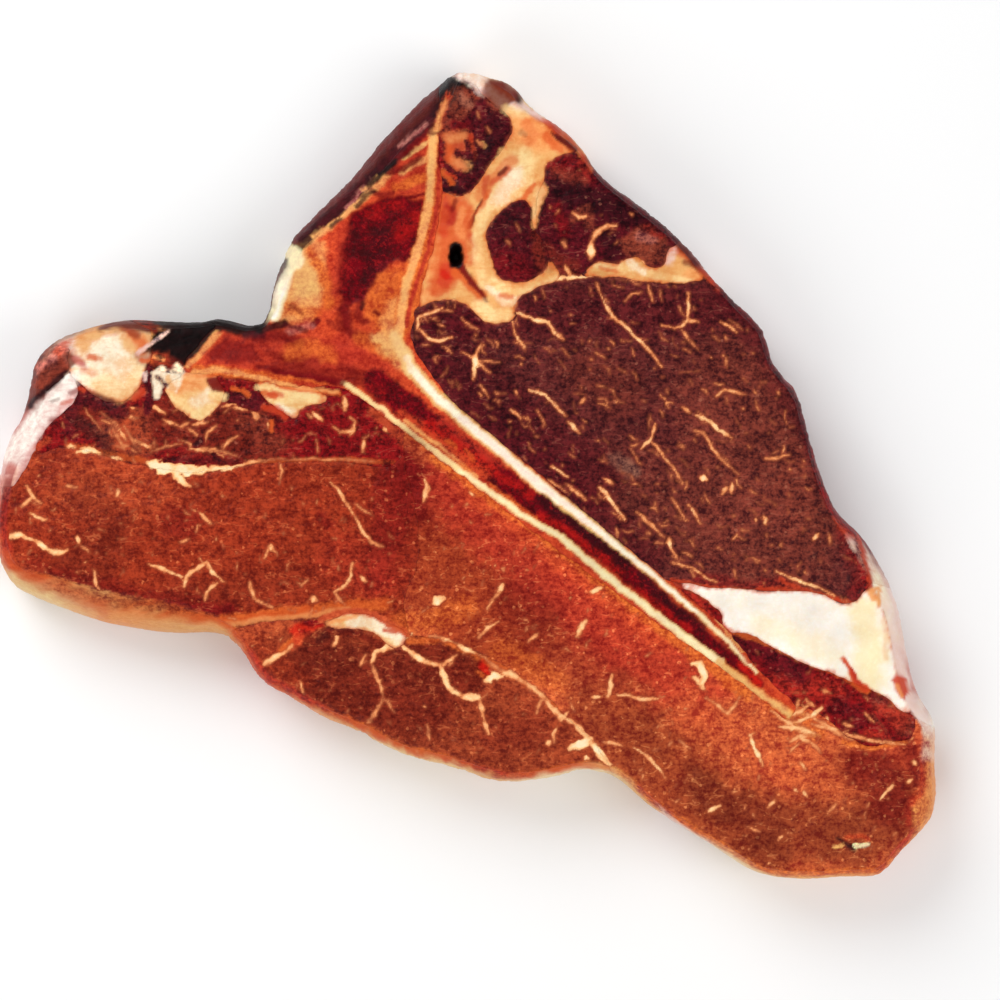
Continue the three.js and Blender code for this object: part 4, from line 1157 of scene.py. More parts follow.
# Strands of fat within one piece.
VEINS = {
    "strip_loin": [
        vein(0.42, 0.75, "597,284 603,300 612,317 625,326 640,341 650,352 662,367"),
        vein(0.35, 0.6, "512,322 516,335 525,350"),
        vein(0.5, 0.75, "508,312 520,315 535,320 548,322 555,335 563,340"),
        vein(0.35, 0.6, "462,352 475,361 490,372"), vein(0.4, 0.8, "481,345 475,361 473,380"),
        vein(0.32, 0.5, "475,361 500,362"), vein(0.9, 0.95, "474,358 477,366"),
        vein(0.42, 0.65, "417,330 418,318 430,313 442,308"),
        vein(0.42, 0.65, "420,329 428,338 440,341 452,337"), vein(0.35, 0.4, "462,318 472,328 478,330"),
        vein(0.4, 0.85, "530,390 545,395 555,405 566,416"), vein(0.36, 0.75, "568,422 580,433"),
        vein(0.36, 0.75, "511,410 521,419"), vein(0.3, 0.55, "537,410 545,425"),
        vein(0.45, 0.65, "580,404 584,399"), vein(0.4, 0.9, "552,467 560,472 568,477"),
        vein(0.36, 0.65, "568,485 575,492 585,500"), vein(0.4, 0.9, "600,488 612,502 625,520"),
        vein(0.4, 0.8, "598,488 609,494"), vein(0.36, 0.6, "637,512 650,525 665,537"),
        vein(0.55, 0.85, "669,538 671,550"), vein(0.35, 0.6, "671,548 677,560"),
        vein(0.35, 0.55, "672,498 678,508 685,520"), vein(0.42, 0.75, "655,425 650,440 641,449"),
        vein(0.34, 0.6, "650,440 660,452 675,470 682,484"),
        vein(0.4, 0.7, "662,326 675,328 682,326 688,318 689,292"), vein(0.36, 0.65, "686,320 698,322"),
        vein(0.32, 0.5, "682,330 690,342 698,350"), vein(0.36, 0.55, "648,285 653,302"),
        vein(0.3, 0.45, "625,302 632,294 642,292"), vein(0.36, 0.6, "722,322 737,332"),
        vein(0.4, 0.65, "682,407 689,413"), vein(0.48, 0.95, "695,415 710,422 718,430 732,438"),
        vein(0.34, 0.6, "694,430 704,434 713,450 724,462 738,474"),
        vein(0.36, 0.6, "716,397 724,389 745,395"), vein(1.0, 0.8, "701,478 705,479"),
        vein(0.4, 0.7, "722,493 727,487"), vein(0.45, 0.7, "731,484 731,493"),
        vein(0.36, 0.6, "765,459 778,459 790,454"), vein(0.34, 0.55, "688,505 695,512 700,524"),
        vein(0.45, 0.7, "733,539 737,534"), vein(0.45, 0.75, "763,515 767,524"),
        vein(0.5, 0.8, "814,539 818,535"), vein(0.42, 0.85, "776,572 790,577 805,583 820,588 835,597"),
        vein(0.34, 0.6, "672,563 690,568 706,578 716,582"), vein(0.34, 0.6, "682,552 692,556"),
        vein(0.36, 0.5, "480,385 488,397"), vein(0.36, 0.55, "604,478 612,484"),
        vein(0.3, 0.5, "556,492 566,500"), vein(0.3, 0.5, "548,480 560,488"),
    ],
    "outer_back_muscle": [
        vein(1.0, 0.7, "591,258 591,245"), vein(0.6, 0.7, "591,243 597,232 608,226 616,226"),
        vein(0.4, 0.5, "573,213 580,218 586,216"), vein(0.5, 0.4, "563,240 565,248"),
        vein(0.5, 0.6, "544,186 540,198"),
    ],
    "tip_muscle": [
        vein(0.35, 0.4, "478,140 482,146"), vein(0.35, 0.4, "486,128 490,132"),
        vein(0.3, 0.3, "478,112 480,118"),
    ],
    "inner_back_muscle": [vein(0.35, 0.35, "516,224 520,232"), vein(0.3, 0.3, "506,240 510,246")],
    "flank_muscle": [
        vein(0.5, 0.6, "806,700 814,706"), vein(0.4, 0.5, "822,690 830,694"),
        vein(0.5, 0.6, "844,724 852,726"), vein(0.4, 0.5, "866,714 876,722"),
        vein(0.45, 0.55, "826,716 828,724"), vein(0.7, 0.85, "798,716 806,722"),
        vein(0.5, 0.8, "802,704 808,716"), vein(0.5, 0.7, "818,712 816,724"),
    ],
    "long_band_muscle": [
        vein(0.55, 0.85, "612,675 608,697"), vein(0.5, 0.7, "592,697 600,697"),
        vein(0.45, 0.75, "618,695 630,696 645,700 658,698"), vein(0.45, 0.6, "571,703 575,712"),
        vein(0.36, 0.6, "603,741 612,742 622,746"), vein(0.42, 0.75, "634,748 650,758 660,770 665,777"),
        vein(0.45, 0.85, "708,811 720,805"), vein(0.55, 0.95, "750,735 755,748 762,765"),
        vein(1.0, 0.95, "693,664 700,664 704,677 702,688 694,678"),
        vein(0.4, 0.6, "705,698 716,704 728,714 740,696"), vein(1.7, 0.95, "434,602 443,598"),
        vein(0.7, 0.6, "428,608 415,616"), vein(0.7, 0.7, "425,480 427,488 423,503"),
        vein(0.5, 0.9, "794,789 797,791"), vein(0.45, 0.85, "804,792 808,797"),
        vein(0.5, 0.7, "778,840 782,836"), vein(0.6, 0.95, "914,762 917,764"),
        vein(0.6, 0.9, "907,783 912,779"), vein(0.45, 0.9, "881,799 893,785"),
        vein(0.32, 0.5, "838,732 848,738 862,740"), vein(0.55, 0.85, "498,591 503,585"),
        vein(0.36, 0.6, "486,610 492,600 500,592"), vein(0.45, 0.6, "478,638 485,630 498,621"),
        vein(0.7, 0.75, "577,637 580,629 586,621"), vein(0.6, 0.8, "590,592 602,588"),
        vein(0.36, 0.5, "469,620 467,610"), vein(0.36, 0.5, "528,642 538,633"),
        vein(0.3, 0.5, "745,826 760,832"), vein(0.36, 0.45, "678,740 690,748"),
        vein(0.36, 0.55, "790,752 800,744"), vein(0.45, 0.7, "768,808 774,800"),
        vein(0.45, 0.6, "800,762 806,770"), vein(0.5, 0.6, "470,492 474,496"),
        vein(0.36, 0.45, "828,812 836,804"),
    ],
    "tenderloin": [
        vein(0.7, 0.8, "402,645 415,655 425,662 440,665"), vein(0.4, 0.6, "457,655 448,662 440,666"),
        vein(0.85, 0.9, "440,665 445,680 452,691 463,697"), vein(0.95, 0.9, "463,697 479,697"),
        vein(0.5, 0.55, "478,697 482,710 484,720"), vein(0.55, 0.6, "484,720 488,733"),
        vein(1.0, 0.85, "397,645 385,648 375,652"), vein(0.6, 0.75, "375,652 371,664"),
        vein(0.5, 0.5, "371,662 378,680 384,696"), vein(0.4, 0.45, "384,696 376,712 365,728"),
        vein(0.32, 0.35, "384,696 394,712"), vein(0.55, 0.65, "336,628 338,638 334,646"),
        vein((0.5, 0.85), 0.75, "262,666 275,657 285,652"), vein(0.4, 0.4, "303,696 308,706 320,715"),
        vein(0.6, 0.6, "285,652 293,645"), vein(0.5, 0.55, "300,682 303,696 312,711"),
        vein(0.5, 0.6, "554,742 553,734 557,727"), vein(0.6, 0.65, "561,720 570,712"),
        vein(0.36, 0.45, "536,713 541,700"), vein(0.7, 0.7, "547,741 549,744"),
        vein(0.36, 0.35, "427,724 430,740"), vein(0.4, 0.45, "360,665 366,655"),
    ],
    "left_eye_muscle": [
        vein(0.42, 0.7, "330,482 338,490 346,503 355,516"),
        vein(0.42, 0.65, "355,516 362,532 372,542 383,546"), vein(0.3, 0.5, "355,504 373,516"),
        vein(0.5, 0.75, "335,592 345,585 351,575 352,563"), vein(0.4, 0.5, "335,592 345,605"),
        vein(0.36, 0.6, "265,558 271,545 278,556"), vein(0.6, 0.8, "270,547 272,550"),
        vein(0.5, 0.75, "149,564 160,568 172,573 184,577"), vein(0.55, 0.8, "184,580 192,572 206,562"),
        vein(0.5, 0.75, "206,562 213,572 224,582"), vein(0.5, 0.8, "188,575 184,586"),
        vein(0.45, 0.65, "217,583 207,592 205,602"), vein(0.7, 0.8, "-4,547 2,541 10,536 20,535 35,541"),
        vein(0.75, 0.85, "35,541 49,551 58,553 67,550"), vein(0.6, 0.85, "77,536 79,543"),
        vein(0.34, 0.5, "80,545 90,553"), vein(0.5, 0.7, "94,570 97,585 100,594"),
        vein(0.55, 0.75, "29,513 38,518 46,520"), vein(0.45, 0.7, "25,486 32,497 41,503"),
        vein(0.45, 0.65, "32,497 20,507"), vein(0.5, 0.75, "118,489 117,496"),
        vein(0.5, 0.6, "200,514 204,517 212,524"), vein(0.4, 0.55, "181,543 190,539"),
        vein(0.45, 0.6, "250,583 254,597"), vein(0.42, 0.55, "254,598 264,603 272,607"),
        vein(0.8, 0.75, "312,598 316,600"), vein(0.5, 0.55, "222,606 226,614"),
        vein(0.5, 0.65, "361,577 366,581"), vein(0.36, 0.4, "280,462 282,472 278,484"),
        vein(0.5, 0.6, "388,603 400,597"), vein(0.4, 0.45, "66,486 76,488"),
    ],
    "upper_band_muscle": [
        vein(0.45, 0.6, "333,427 340,433 352,431 355,422 350,418"), vein(0.55, 0.65, "363,440 363,452"),
        vein(0.6, 0.5, "352,466 362,468"), vein(0.4, 0.5, "385,462 378,474 375,495"),
        vein(0.9, 0.8, "385,425 386,431"), vein(0.8, 0.75, "344,398 345,410"),
        vein(0.55, 0.6, "254,408 256,420"), vein(0.5, 0.55, "222,407 232,404 242,407"),
        vein(0.34, 0.4, "150,452 165,446 180,444"), vein(0.36, 0.5, "180,440 195,447 215,450 236,455"),
        vein(0.36, 0.45, "205,441 208,432 216,426"), vein(0.36, 0.45, "220,452 228,442 238,436"),
        vein(0.34, 0.4, "186,428 200,437"), vein(0.6, 0.85, "153,368 156,378 151,390 150,400"),
        vein(0.8, 0.9, "160,374 170,378 176,384"), vein(0.6, 0.8, "178,368 184,376"),
        vein(0.7, 0.65, "268,424 272,430"), vein(0.4, 0.5, "163,420 178,426"),
        vein(0.4, 0.5, "118,428 126,440"), vein(0.36, 0.5, "100,420 112,424"),
        vein(0.45, 0.55, "135,440 150,448"), vein(0.6, 0.5, "400,450 404,458"),
        vein(0.5, 0.55, "124,412 134,420"), vein(0.7, 0.85, "80,449 98,451 116,457"),
        vein(0.45, 0.6, "238,465 262,460"), vein(0.5, 0.5, "312,412 322,420"),
        vein(0.36, 0.4, "316,440 318,452"),
    ],
}

# Random flecks: seed, count, longest, half width, direction in degrees, spread of it.
FLECKS = {
    "strip_loin": (101, 330, 3.0, 0.18, -45, 26),
    "outer_back_muscle": (102, 12, 1.6, 0.2, -40, 40),
    "long_band_muscle": (103, 150, 1.7, 0.19, 50, 35),
    "tenderloin": (104, 46, 1.3, 0.17, 40, 60),
    "left_eye_muscle": (105, 120, 2.0, 0.18, 60, 60),
    "upper_band_muscle": (106, 60, 2.4, 0.2, 30, 60),
    "flank_muscle": (107, 16, 1.8, 0.2, 20, 50),
}

# The side, clockwise from the tip of the bone: a place on its edge, then its colour at the
# brink and its colour lower down.
RIM = [
    (442, 78, "tar", "night"), (452, 68, "tar", "night"), (458, 66, "chalk", "blush"),
    (478, 71, "chalk", "gold"), (494, 76, "umber", "straw"), (512, 86, "garnet", "umber"),
    (522, 96, "tar", "umber"), (530, 102, "blush", "cream"), (550, 115, "ember", "blush"),
    (575, 138, "apricot", "cream"), (588, 156, "ember", "apricot"), (596, 166, "plum", "garnet"),
    (650, 210, "plum", "plum"), (700, 258, "plum", "garnet"), (718, 278, "ember", "blush"),
    (728, 292, "plum", "garnet"), (780, 370, "plum", "garnet"), (812, 440, "plum", "garnet"),
    (834, 500, "garnet", "garnet"), (850, 520, "garnet", "garnet"), (862, 532, "ember", "garnet"),
    (856, 545, "blush", "garnet"), (888, 585, "ivory", "blush"), (912, 650, "blush", "blush"),
    (930, 690, "blush", "mauve"), (940, 735, "blush", "chalk"), (942, 768, "brick", "apricot"),
    (943, 800, "ember", "apricot"), (925, 845, "brick", "apricot"), (900, 868, "brick", "orange"),
    (880, 880, "orange", "apricot"), (800, 882, "orange", "gold"), (745, 878, "orange", "straw"),
    (690, 838, "orange", "blush"), (660, 812, "brick", "blush"), (640, 792, "orange", "gold"),
    (605, 774, "apricot", "straw"), (575, 772, "orange", "straw"), (545, 780, "orange", "straw"),
    (495, 785, "brick", "gold"), (440, 775, "orange", "cream"), (390, 758, "orange", "cream"),
    (350, 738, "orange", "gold"), (310, 716, "brick", "apricot"), (270, 692, "brick", "orange"),
    (240, 660, "brick", "orange"), (222, 640, "orange", "gold"), (160, 635, "orange", "gold"),
    (100, 622, "orange", "apricot"), (50, 605, "apricot", "cream"), (12, 580, "orange", "cream"),
    (-8, 545, "brick", "orange"), (-12, 500, "garnet", "rust"), (-6, 455, "mauve", "blush"),
    (4, 425, "blush", "mauve"), (20, 392, "umber", "cocoa"), (40, 355, "smoke", "umber"),
    (66, 342, "blush", "smoke"), (100, 325, "gold", "smoke"), (140, 317, "umber", "cocoa"),
    (170, 316, "tar", "cocoa"), (225, 316, "tar", "night"), (256, 324, "tar", "night"),
    (264, 306, "straw", "night"), (272, 280, "ivory", "cocoa"), (282, 256, "straw", "night"),
    (292, 240, "night", "plum"), (320, 206, "night", "plum"), (400, 118, "night", "plum"),
    (434, 86, "night", "plum"),
]


def rim_colours(turn):
    """The colours of the side in a direction from the middle: at the brink, and lower down."""
    places = np.array([on_steak(entry[:2])[0] for entry in RIM])
    angles = np.arctan2(places[:, 1], places[:, 0]) % (2 * math.pi)
    order = np.argsort(angles)
    both = []
    for which in (2, 3):
        shades = np.array([paint(RIM[number][which]) for number in order])
        both.append(np.stack([np.interp(turn % (2 * math.pi), angles[order], shades[:, part],
                                        period=2 * math.pi) for part in range(3)], -1))
    return both


def stain_border(tint, x, y, inward, face_share):
    """Stains fat orange close to the meat, and lays the meat's colour over it where the seam is crossed."""
    steak = sheet()
    lean = np.stack([read_table(part, x, y, steak.cell, steak.low) for part in steak.lean], -1)
    inner = face_share[:, None]
    tint += inner * (1 - smoothstep(0.48, 0.8, inward))[:, None] * 0.7 * (paint("orange") - tint)
    tint += inner * (1 - smoothstep(0.36, 0.48, inward))[:, None] * (lean - tint)


def lay_fringe(outside, tone, inward):
    """Frays the meat's border: the fat next to it reaches in like a strand."""
    fringe = (0.5 - inward) * 2.4 + 0.1
    near = fringe < outside
    outside[near], tone[near] = fringe[near], 0.25 + np.clip(-0.9 * fringe[near], 0, 0.5)


def marrow_share(x, y):
    """1 where marrow lies open in the stem and in the hollow face."""
    at_x, at_y = wandered(x, y, 0.4)
    canal, along = distance_to_line(at_x, at_y, on_steak(CANAL))
    hollow = distance_to_patch(at_x, at_y, on_steak(HOLLOW_FACE))
    in_canal = 1 - smoothstep(0.6, 1.6, canal - 2.6 * (1 - along))
    return np.maximum(in_canal, 1 - smoothstep(-0.9, 0.1, hollow))


def surface_values(node, x, y, edge_share, depth):
    """What the finish reads at each point: colour, strands of fat and their tone, and marrow.

    edge_share is 1 on the side, and depth is how far below the brink a point of the side lies.
    """
    steak = sheet()
    own, marks = MARKS[node]
    tint = paint_marks(np.tile(paint(own), (len(x), 1)), x, y, marks)
    tint *= (1 + 0.16 * layered_grain(x, y, 9, seed=111))[:, None]
    inward = (read_table(steak.fat, x, y, steak.cell, steak.low)
              + 0.17 * layered_grain(x, y, 2.2, seed=161) + 0.1 * grain(x, y, 0.8, seed=165))
    outside, tone = np.full(len(x), NO_STRAND_NEAR), np.full(len(x), MIDDLE_TONE)
    if node in FAT_NODES:
        stain_border(tint, x, y, inward, 1 - edge_share)
    elif node != "t_bone":
        veins = VEINS.get(node, []) + CROSSING_VEINS
        face = np.nonzero(edge_share < 0.05)[0]
        if node in FLECKS and len(face):
            veins += loose_flecks(x[face], y[face], *FLECKS[node])
        outside, tone = lay_veins(x, y, veins)
        lay_fringe(outside, tone, inward)

    turn = np.arctan2(y, x)
    brink, lower = rim_colours(turn + 0.02 * grain(x, y, 2.5, seed=121))
    down = smoothstep(0.3, 5, depth + 2 * layered_grain(turn * MEAN_RADIUS, depth, 3, seed=131))
    side = brink + (lower - brink) * down[:, None]
    tint += (edge_share * 0.9)[:, None] * (side - tint)
    hidden = np.zeros(len(x))
    tint = paint_marks(tint, x, y, OVER_SEAMS, hidden)
    outside += 1.2 * edge_share + 1.6 * hidden
    marrow = marrow_share(x, y) if node == "t_bone" else np.zeros(len(x))
    return np.clip(tint, 0, 1), outside, tone, marrow


# ---------------------------------------------------------------- pieces


def lattice_solid(node):
    """The node's cells as a closed body in lattice steps: the face at 1, the underside at 0."""
    steak, steps = sheet(), sizes().side_steps
    number = NODE_NAMES.index(node)
    rows, columns = np.nonzero(steak.label == number)
    if not len(rows):
        raise RuntimeError(f"{node} has no cells")
    low, high = np.array((columns.min(), rows.min())), np.array((columns.max(), rows.max())) + 1
    span, middle = high - low, (low + high) / 2
    body = bmesh.new()
    place = Matrix.Translation((*middle, 1)) @ Matrix.Diagonal((*span, 1, 1))
    bmesh.ops.create_grid(body, x_segments=int(span[0]), y_segments=int(span[1]), size=0.5, matrix=place)
    strangers = []
    for face in body.faces:
        centre = face.calc_center_median()
        if steak.label[int(centre.y), int(centre.x)] != number:
            strangers.append(face)
        face.smooth = True
    bmesh.ops.delete(body, geom=strangers, context="FACES")
    made = bmesh.ops.extrude_face_region(body, geom=body.faces[:], use_keep_orig=True)
    lower = [part for part in made["geom"] if isinstance(part, bmesh.types.BMVert)]
    bmesh.ops.translate(body, vec=(0, 0, -1), verts=lower)
    bmesh.ops.recalc_face_normals(body, faces=body.faces)
    # the walls on the steak's edge are the side, and get rings of faces
    outer = []
    for edge in body.edges:
        first, last = (corner.co for corner in edge.verts)
        if abs(first.z - last.z) > 0.5 and steak.is_rim[round(first.y), round(first.x)]:
            outer.append(edge)
    for face in body.faces:
        if abs(face.normal.z) < 0.5:
            face.smooth = all(steak.is_rim[round(corner.co.y), round(corner.co.x)] for corner in face.verts)
    if outer:
        bmesh.ops.subdivide_edges(body, edges=outer, cuts=steps - 1)
    return body


def place_points(mesh):
    """Moves a body from lattice steps to its place, and returns what the finish needs to know."""
    steak = sheet()
    steps = np.empty(len(mesh.vertices) * 3, "f")
    mesh.vertices.foreach_get("co", steps)
    steps = steps.reshape(-1, 3)
    columns, rows = np.rint(steps[:, 0]).astype(int), np.rint(steps[:, 1]).astype(int)
    share = steps[:, 2].astype(float)
    on_face, below = share > 0.999, share < 0.001
    on_side = ~(on_face | below)
    places = np.empty((len(steps), 3))
    places[:, 0] = np.where(on_face, steak.x[rows, columns], steak.below[rows, columns, 0])
    places[:, 1] = np.where(on_face, steak.y[rows, columns], steak.below[rows, columns, 1])
    places[:, 2] = np.where(on_face, steak.z[rows, columns], steak.lift[rows, columns])
    depth = np.zeros(len(steps))
    if on_side.any():
        side = wall_points(rows[on_side], columns[on_side], share[on_side])
        places[on_side] = np.stack(side, -1)
        depth[on_side] = steak.z[rows, columns][on_side] - side[2]
    mesh.vertices.foreach_set("co", (places * MM).ravel())
    seen_x = np.where(on_side, places[:, 0], steak.x[rows, columns])
    seen_y = np.where(on_side, places[:, 1], steak.y[rows, columns])
    return seen_x, seen_y, on_side, depth, steak.from_edge[rows, columns]


def make_piece(node, name, material):
    """Builds one piece on its node: its closed body, what its finish reads, and its material."""
    body = lattice_solid(node)
    mesh = bpy.data.meshes.new(name)
    body.to_mesh(mesh)
    body.free()
    x, y, on_side, depth, from_edge = place_points(mesh)
    mesh.update()
    ragged = from_edge + 0.5 * layered_grain(x, y, 1.8, seed=151)
    edge_share = np.where(on_side, 1.0, 0.75 * (1 - smoothstep(0.0, 0.7, ragged)))
    tint, outside, tone, marrow = surface_values(node, x, y, edge_share, depth)
    shades = np.ones((len(x), 4), "f")
    shades[:, :3] = tint
    mesh.attributes.new("tint", "FLOAT_COLOR", "POINT").data.foreach_set("color", shades.ravel())
    read_by_finish = {"outside_fat": outside, "fat_tone": tone, "marrow": marrow, "side": edge_share}
    for title, values in read_by_finish.items():
        mesh.attributes.new(title, "FLOAT", "POINT").data.foreach_set("value", values.astype("f"))
    piece = bpy.data.objects.new(name, mesh)
    bpy.context.scene.collection.objects.link(piece)
    mesh.materials.append(material)
    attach(piece, "root")
    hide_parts(node)
    return piece


# ---------------------------------------------------------------- finishes


FLECK_BEND = 0.6 * MM       # how far the specks are pulled out of shape

# Colours of a strand of fat, from the stain round it to the middle of a wide one.
STRAND_HALO = (0.40, 0.085, 0.03)
STRAND_RIM = (0.42, 0.105, 0.045)
STRAND_ORANGE = (0.80, 0.26, 0.09)
STRAND_GOLD = (1.0, 0.60, 0.27)
STRAND_CREAM = (0.96, 0.77, 0.48)
# What the meat's own colour is multiplied by in its specks, which are partly flecks of fat and partly
# painted glints of wet meat, and in the shade of evenly red meat.
SPECK_AND_GLINT_GAIN = (2.6, 3.6, 2.6)
SHADE_GAIN = (0.84, 0.6, 0.45)
# What the bone's colour is multiplied by in its hollows and on its grains, and fat's on its grains.
BONE_DARK, BONE_LIGHT = (0.62, 0.36, 0.44), (1.22, 1.6, 1.4)
FAT_LIGHT = (1.04, 1.08, 1.12)
MARROW_HOLLOW = (0.035, 0.0008, 0.002)
MARROW_FRESH = (0.5, 0.012, 0.01)


class Finish:
    """A material under construction. Values and joined sockets are given to each node by name."""

    def __init__(self, name):
        self.material = bpy.data.materials.new(name)
        self.material.use_nodes = True
        self.tree = self.material.node_tree
        self.tree.nodes.clear()
        self.place = self.add("ShaderNodeTexCoord").outputs["Object"]

    def add(self, kind, inputs=None, **settings):
        """Adds a shader node. inputs holds values or sockets by the name or number of the input."""
        node = self.tree.nodes.new(kind)
        for title, value in settings.items():
            setattr(node, title, value)
        for title, value in (inputs or {}).items():
            socket = node.inputs[title]
            if isinstance(value, bpy.types.NodeSocket):
                self.tree.links.new(value, socket)
            else:
                socket.default_value = value
        return node

    def read(self, title):
        """Reads one of the piece's own attributes."""
        node = self.add("ShaderNodeAttribute", attribute_name=title, attribute_type="GEOMETRY")
        return node.outputs["Color" if title == "tint" else "Fac"]

    def noise(self, scale, detail=3.0, roughness=0.55, where=None):
        """Cloudy unevenness round 0.5."""
        settings = {"Vector": where or self.place, "Scale": scale, "Detail": detail, "Roughness": roughness}
        return self.add("ShaderNodeTexNoise", settings).outputs["Fac"]

    def sum(self, first, second, kind="ADD"):
        """Two values added, or put together by another kind of sum."""
        return self.add("ShaderNodeMath", {0: first, 1: second}, operation=kind).outputs[0]

    def times(self, first, second):
        """Two values multiplied."""
        return self.sum(first, second, "MULTIPLY")

    def ramp(self, value, low, high, bottom=0.0, top=1.0):
        """Maps a value from low to high onto bottom to top, and no further."""
        return self.add("ShaderNodeMapRange", {"Value": value, "From Min": low, "From Max": high,
                                               "To Min": bottom, "To Max": top}).outputs["Result"]

    def mix(self, share, first, second, kind="MIX"):
        """Two colours mixed, or put together by another kind of blend, by a share of the second."""
        node = self.add("ShaderNodeMix", data_type="RGBA", blend_type=kind)
        for socket, value in ((node.inputs[0], share), (node.inputs[6], first), (node.inputs[7], second)):
            if isinstance(value, bpy.types.NodeSocket):
                self.tree.links.new(value, socket)
            else:
                socket.default_value = value if isinstance(value, float) else (*value, 1.0)
        return node.outputs[2]

    def stretched(self, turn, long, across):
        """Coordinates for streaks: turned in the plane of the face, and drawn out along one way."""
        return self.add("ShaderNodeMapping", {"Vector": self.place, "Rotation": (0, 0, math.radians(turn)),
                                              "Scale": (long, across, across)}).outputs["Vector"]

    def flecks(self, scale, chance, radius, where=None):
        """Small specks, each in its own cell, of random size. chance is the share of cells without one."""
        place = where or self.place
        bent = self.add("ShaderNodeTexNoise", {"Vector": place, "Scale": scale * 2.0, "Detail": 1.0})
        shifted = self.add("ShaderNodeVectorMath", {0: bent.outputs["Color"], 1: (FLECK_BEND,) * 3},
                           operation="MULTIPLY").outputs[0]
        at = self.add("ShaderNodeVectorMath", {0: place, 1: shifted}, operation="ADD").outputs[0]
        cells = self.add("ShaderNodeTexVoronoi", {"Vector": at, "Scale": scale})
        luck = self.add("ShaderNodeSeparateColor", {"Color": cells.outputs["Color"]}).outputs["Red"]
        size = self.ramp(luck, chance, 1.0, 0.0, radius)
        return self.ramp(self.sum(cells.outputs["Distance"], size, "SUBTRACT"), 0.0, -0.07)

    def finish(self, colour, height, roughness, strength=0.5, distance=0.4 * MM, **fixed):
        """Joins colour, relief and roughness to the shader, with fixed values for its other inputs."""
        bump = self.add("ShaderNodeBump", {"Height": height, "Strength": strength, "Distance": distance})
        shader = self.add("ShaderNodeBsdfPrincipled", {"Base Color": colour, "Roughness": roughness,
                                                       "Normal": bump.outputs["Normal"]})
        for title, value in fixed.items():
            shader.inputs[title.replace("_", " ")].default_value = value
        output = self.add("ShaderNodeOutputMaterial", {"Surface": shader.outputs["BSDF"]})
        output.is_active_output = True
        return self.material


def meat(name, dark, light, speck, chance, fibre_turn, gloss, plain_from):
    """Cut muscle: mottled, flecked and marbled. Its light specks are partly flecks of fat and partly painted
    glints of wet meat.

    dark and light multiply its colour in the mottling, which fades out where the red of the colour
    is above plain_from. chance is the share of cells without a speck.
    """
    work = Finish(name)
    tint, side = work.read("tint"), work.read("side")
    coarse = work.noise(430, detail=4.0, roughness=0.62)
    fine = work.noise(1250, detail=3.0, roughness=0.65)
    fibre = work.noise(1.0, detail=2.0, roughness=0.6,
                       where=work.stretched(fibre_turn, long=330, across=1300))
    mottle = work.sum(work.sum(work.times(coarse, 0.42), work.times(fine, 0.40)), work.times(fibre, 0.18))
    low = work.mix(1.0, tint, dark, "MULTIPLY")
    high = work.mix(1.0, tint, light, "MULTIPLY")
    flesh = work.mix(work.ramp(mottle, 0.415, 0.585), low, high)
    redness = work.add("ShaderNodeSeparateColor", {"Color": tint}).outputs["Red"]
    deep = work.ramp(redness, plain_from, plain_from + 0.22, 1.0, 0.0)
    shaded = work.mix(1.0, tint, SHADE_GAIN, "MULTIPLY")
    flesh = work.mix(deep, work.mix(work.ramp(mottle, 0.58, 0.42, 0.0, 0.6), tint, shaded), flesh)
    # fine strands: the thin line where a drawn-out unevenness passes its middle, broken up
    bends = work.noise(1.0, detail=2.0, roughness=0.5,
                       where=work.stretched(fibre_turn, long=130, across=360))
    ridge = work.sum(work.sum(bends, -0.5), 0.0, "ABSOLUTE")
    threads = work.times(work.ramp(ridge, 0.022, 0.004, 0.0, 0.6), work.ramp(coarse, 0.49, 0.6))
    # light specks laid over the flesh: partly flecks of fat, partly painted glints of wet meat
    small = work.times(work.flecks(560, chance, 0.30), work.ramp(coarse, 0.42, 0.6, 0.25, 1.0))
    spots = work.times(work.sum(small, threads, "MAXIMUM"), work.ramp(side, 0.2, 0.6, 0.8, 0.1))
    spots = work.times(spots, deep)
    own_speck_and_glint = work.mix(1.0, tint, SPECK_AND_GLINT_GAIN, "MULTIPLY")
    flesh = work.mix(spots, flesh, work.mix(0.5, own_speck_and_glint, speck))
    body, covered = strands_over(work, flesh, coarse, fine)
    height = work.sum(mottle, work.times(covered, 0.12))
    rough = work.ramp(work.sum(coarse, work.times(covered, 0.2)), 0.35, 0.75, gloss, gloss + 0.16)
    return work.finish(body, height, rough, strength=0.5, distance=0.5 * MM,
                       Specular_IOR_Level=0.1, IOR=1.42)


def strands_over(work, flesh, coarse, fine):
    """Lays the strands of fat over the flesh, and returns both colours as one and where fat covers it.

    The strands are orange at their frayed rim and paler in the middle of wide ones.
    """
    outside = work.read("outside_fat")
    frayed = work.sum(outside, work.ramp(fine, 0.3, 0.7, -0.16, 0.16))
    tone = work.sum(work.read("fat_tone"), work.ramp(coarse, 0.3, 0.7, -0.3, 0.25))
    strength = work.ramp(tone, -0.05, 0.55, 0.35, 1.0)
    halo = work.times(work.ramp(frayed, 0.62, 0.1, 0.0, 0.5), strength)
    flesh = work.mix(halo, flesh, STRAND_HALO)
    pale = work.sum(tone, work.ramp(outside, 0.0, -0.6, -0.12, 0.32))
    strand = work.mix(work.ramp(pale, 0.0, 0.5), STRAND_RIM, STRAND_ORANGE)
    strand = work.mix(work.ramp(pale, 0.5, 1.05), strand, STRAND_GOLD)
    strand = work.mix(work.ramp(pale, 1.0, 1.35), strand, STRAND_CREAM)
    covered = work.times(work.ramp(frayed, 0.2, -0.16), strength)
    return work.mix(covered, flesh, strand), covered


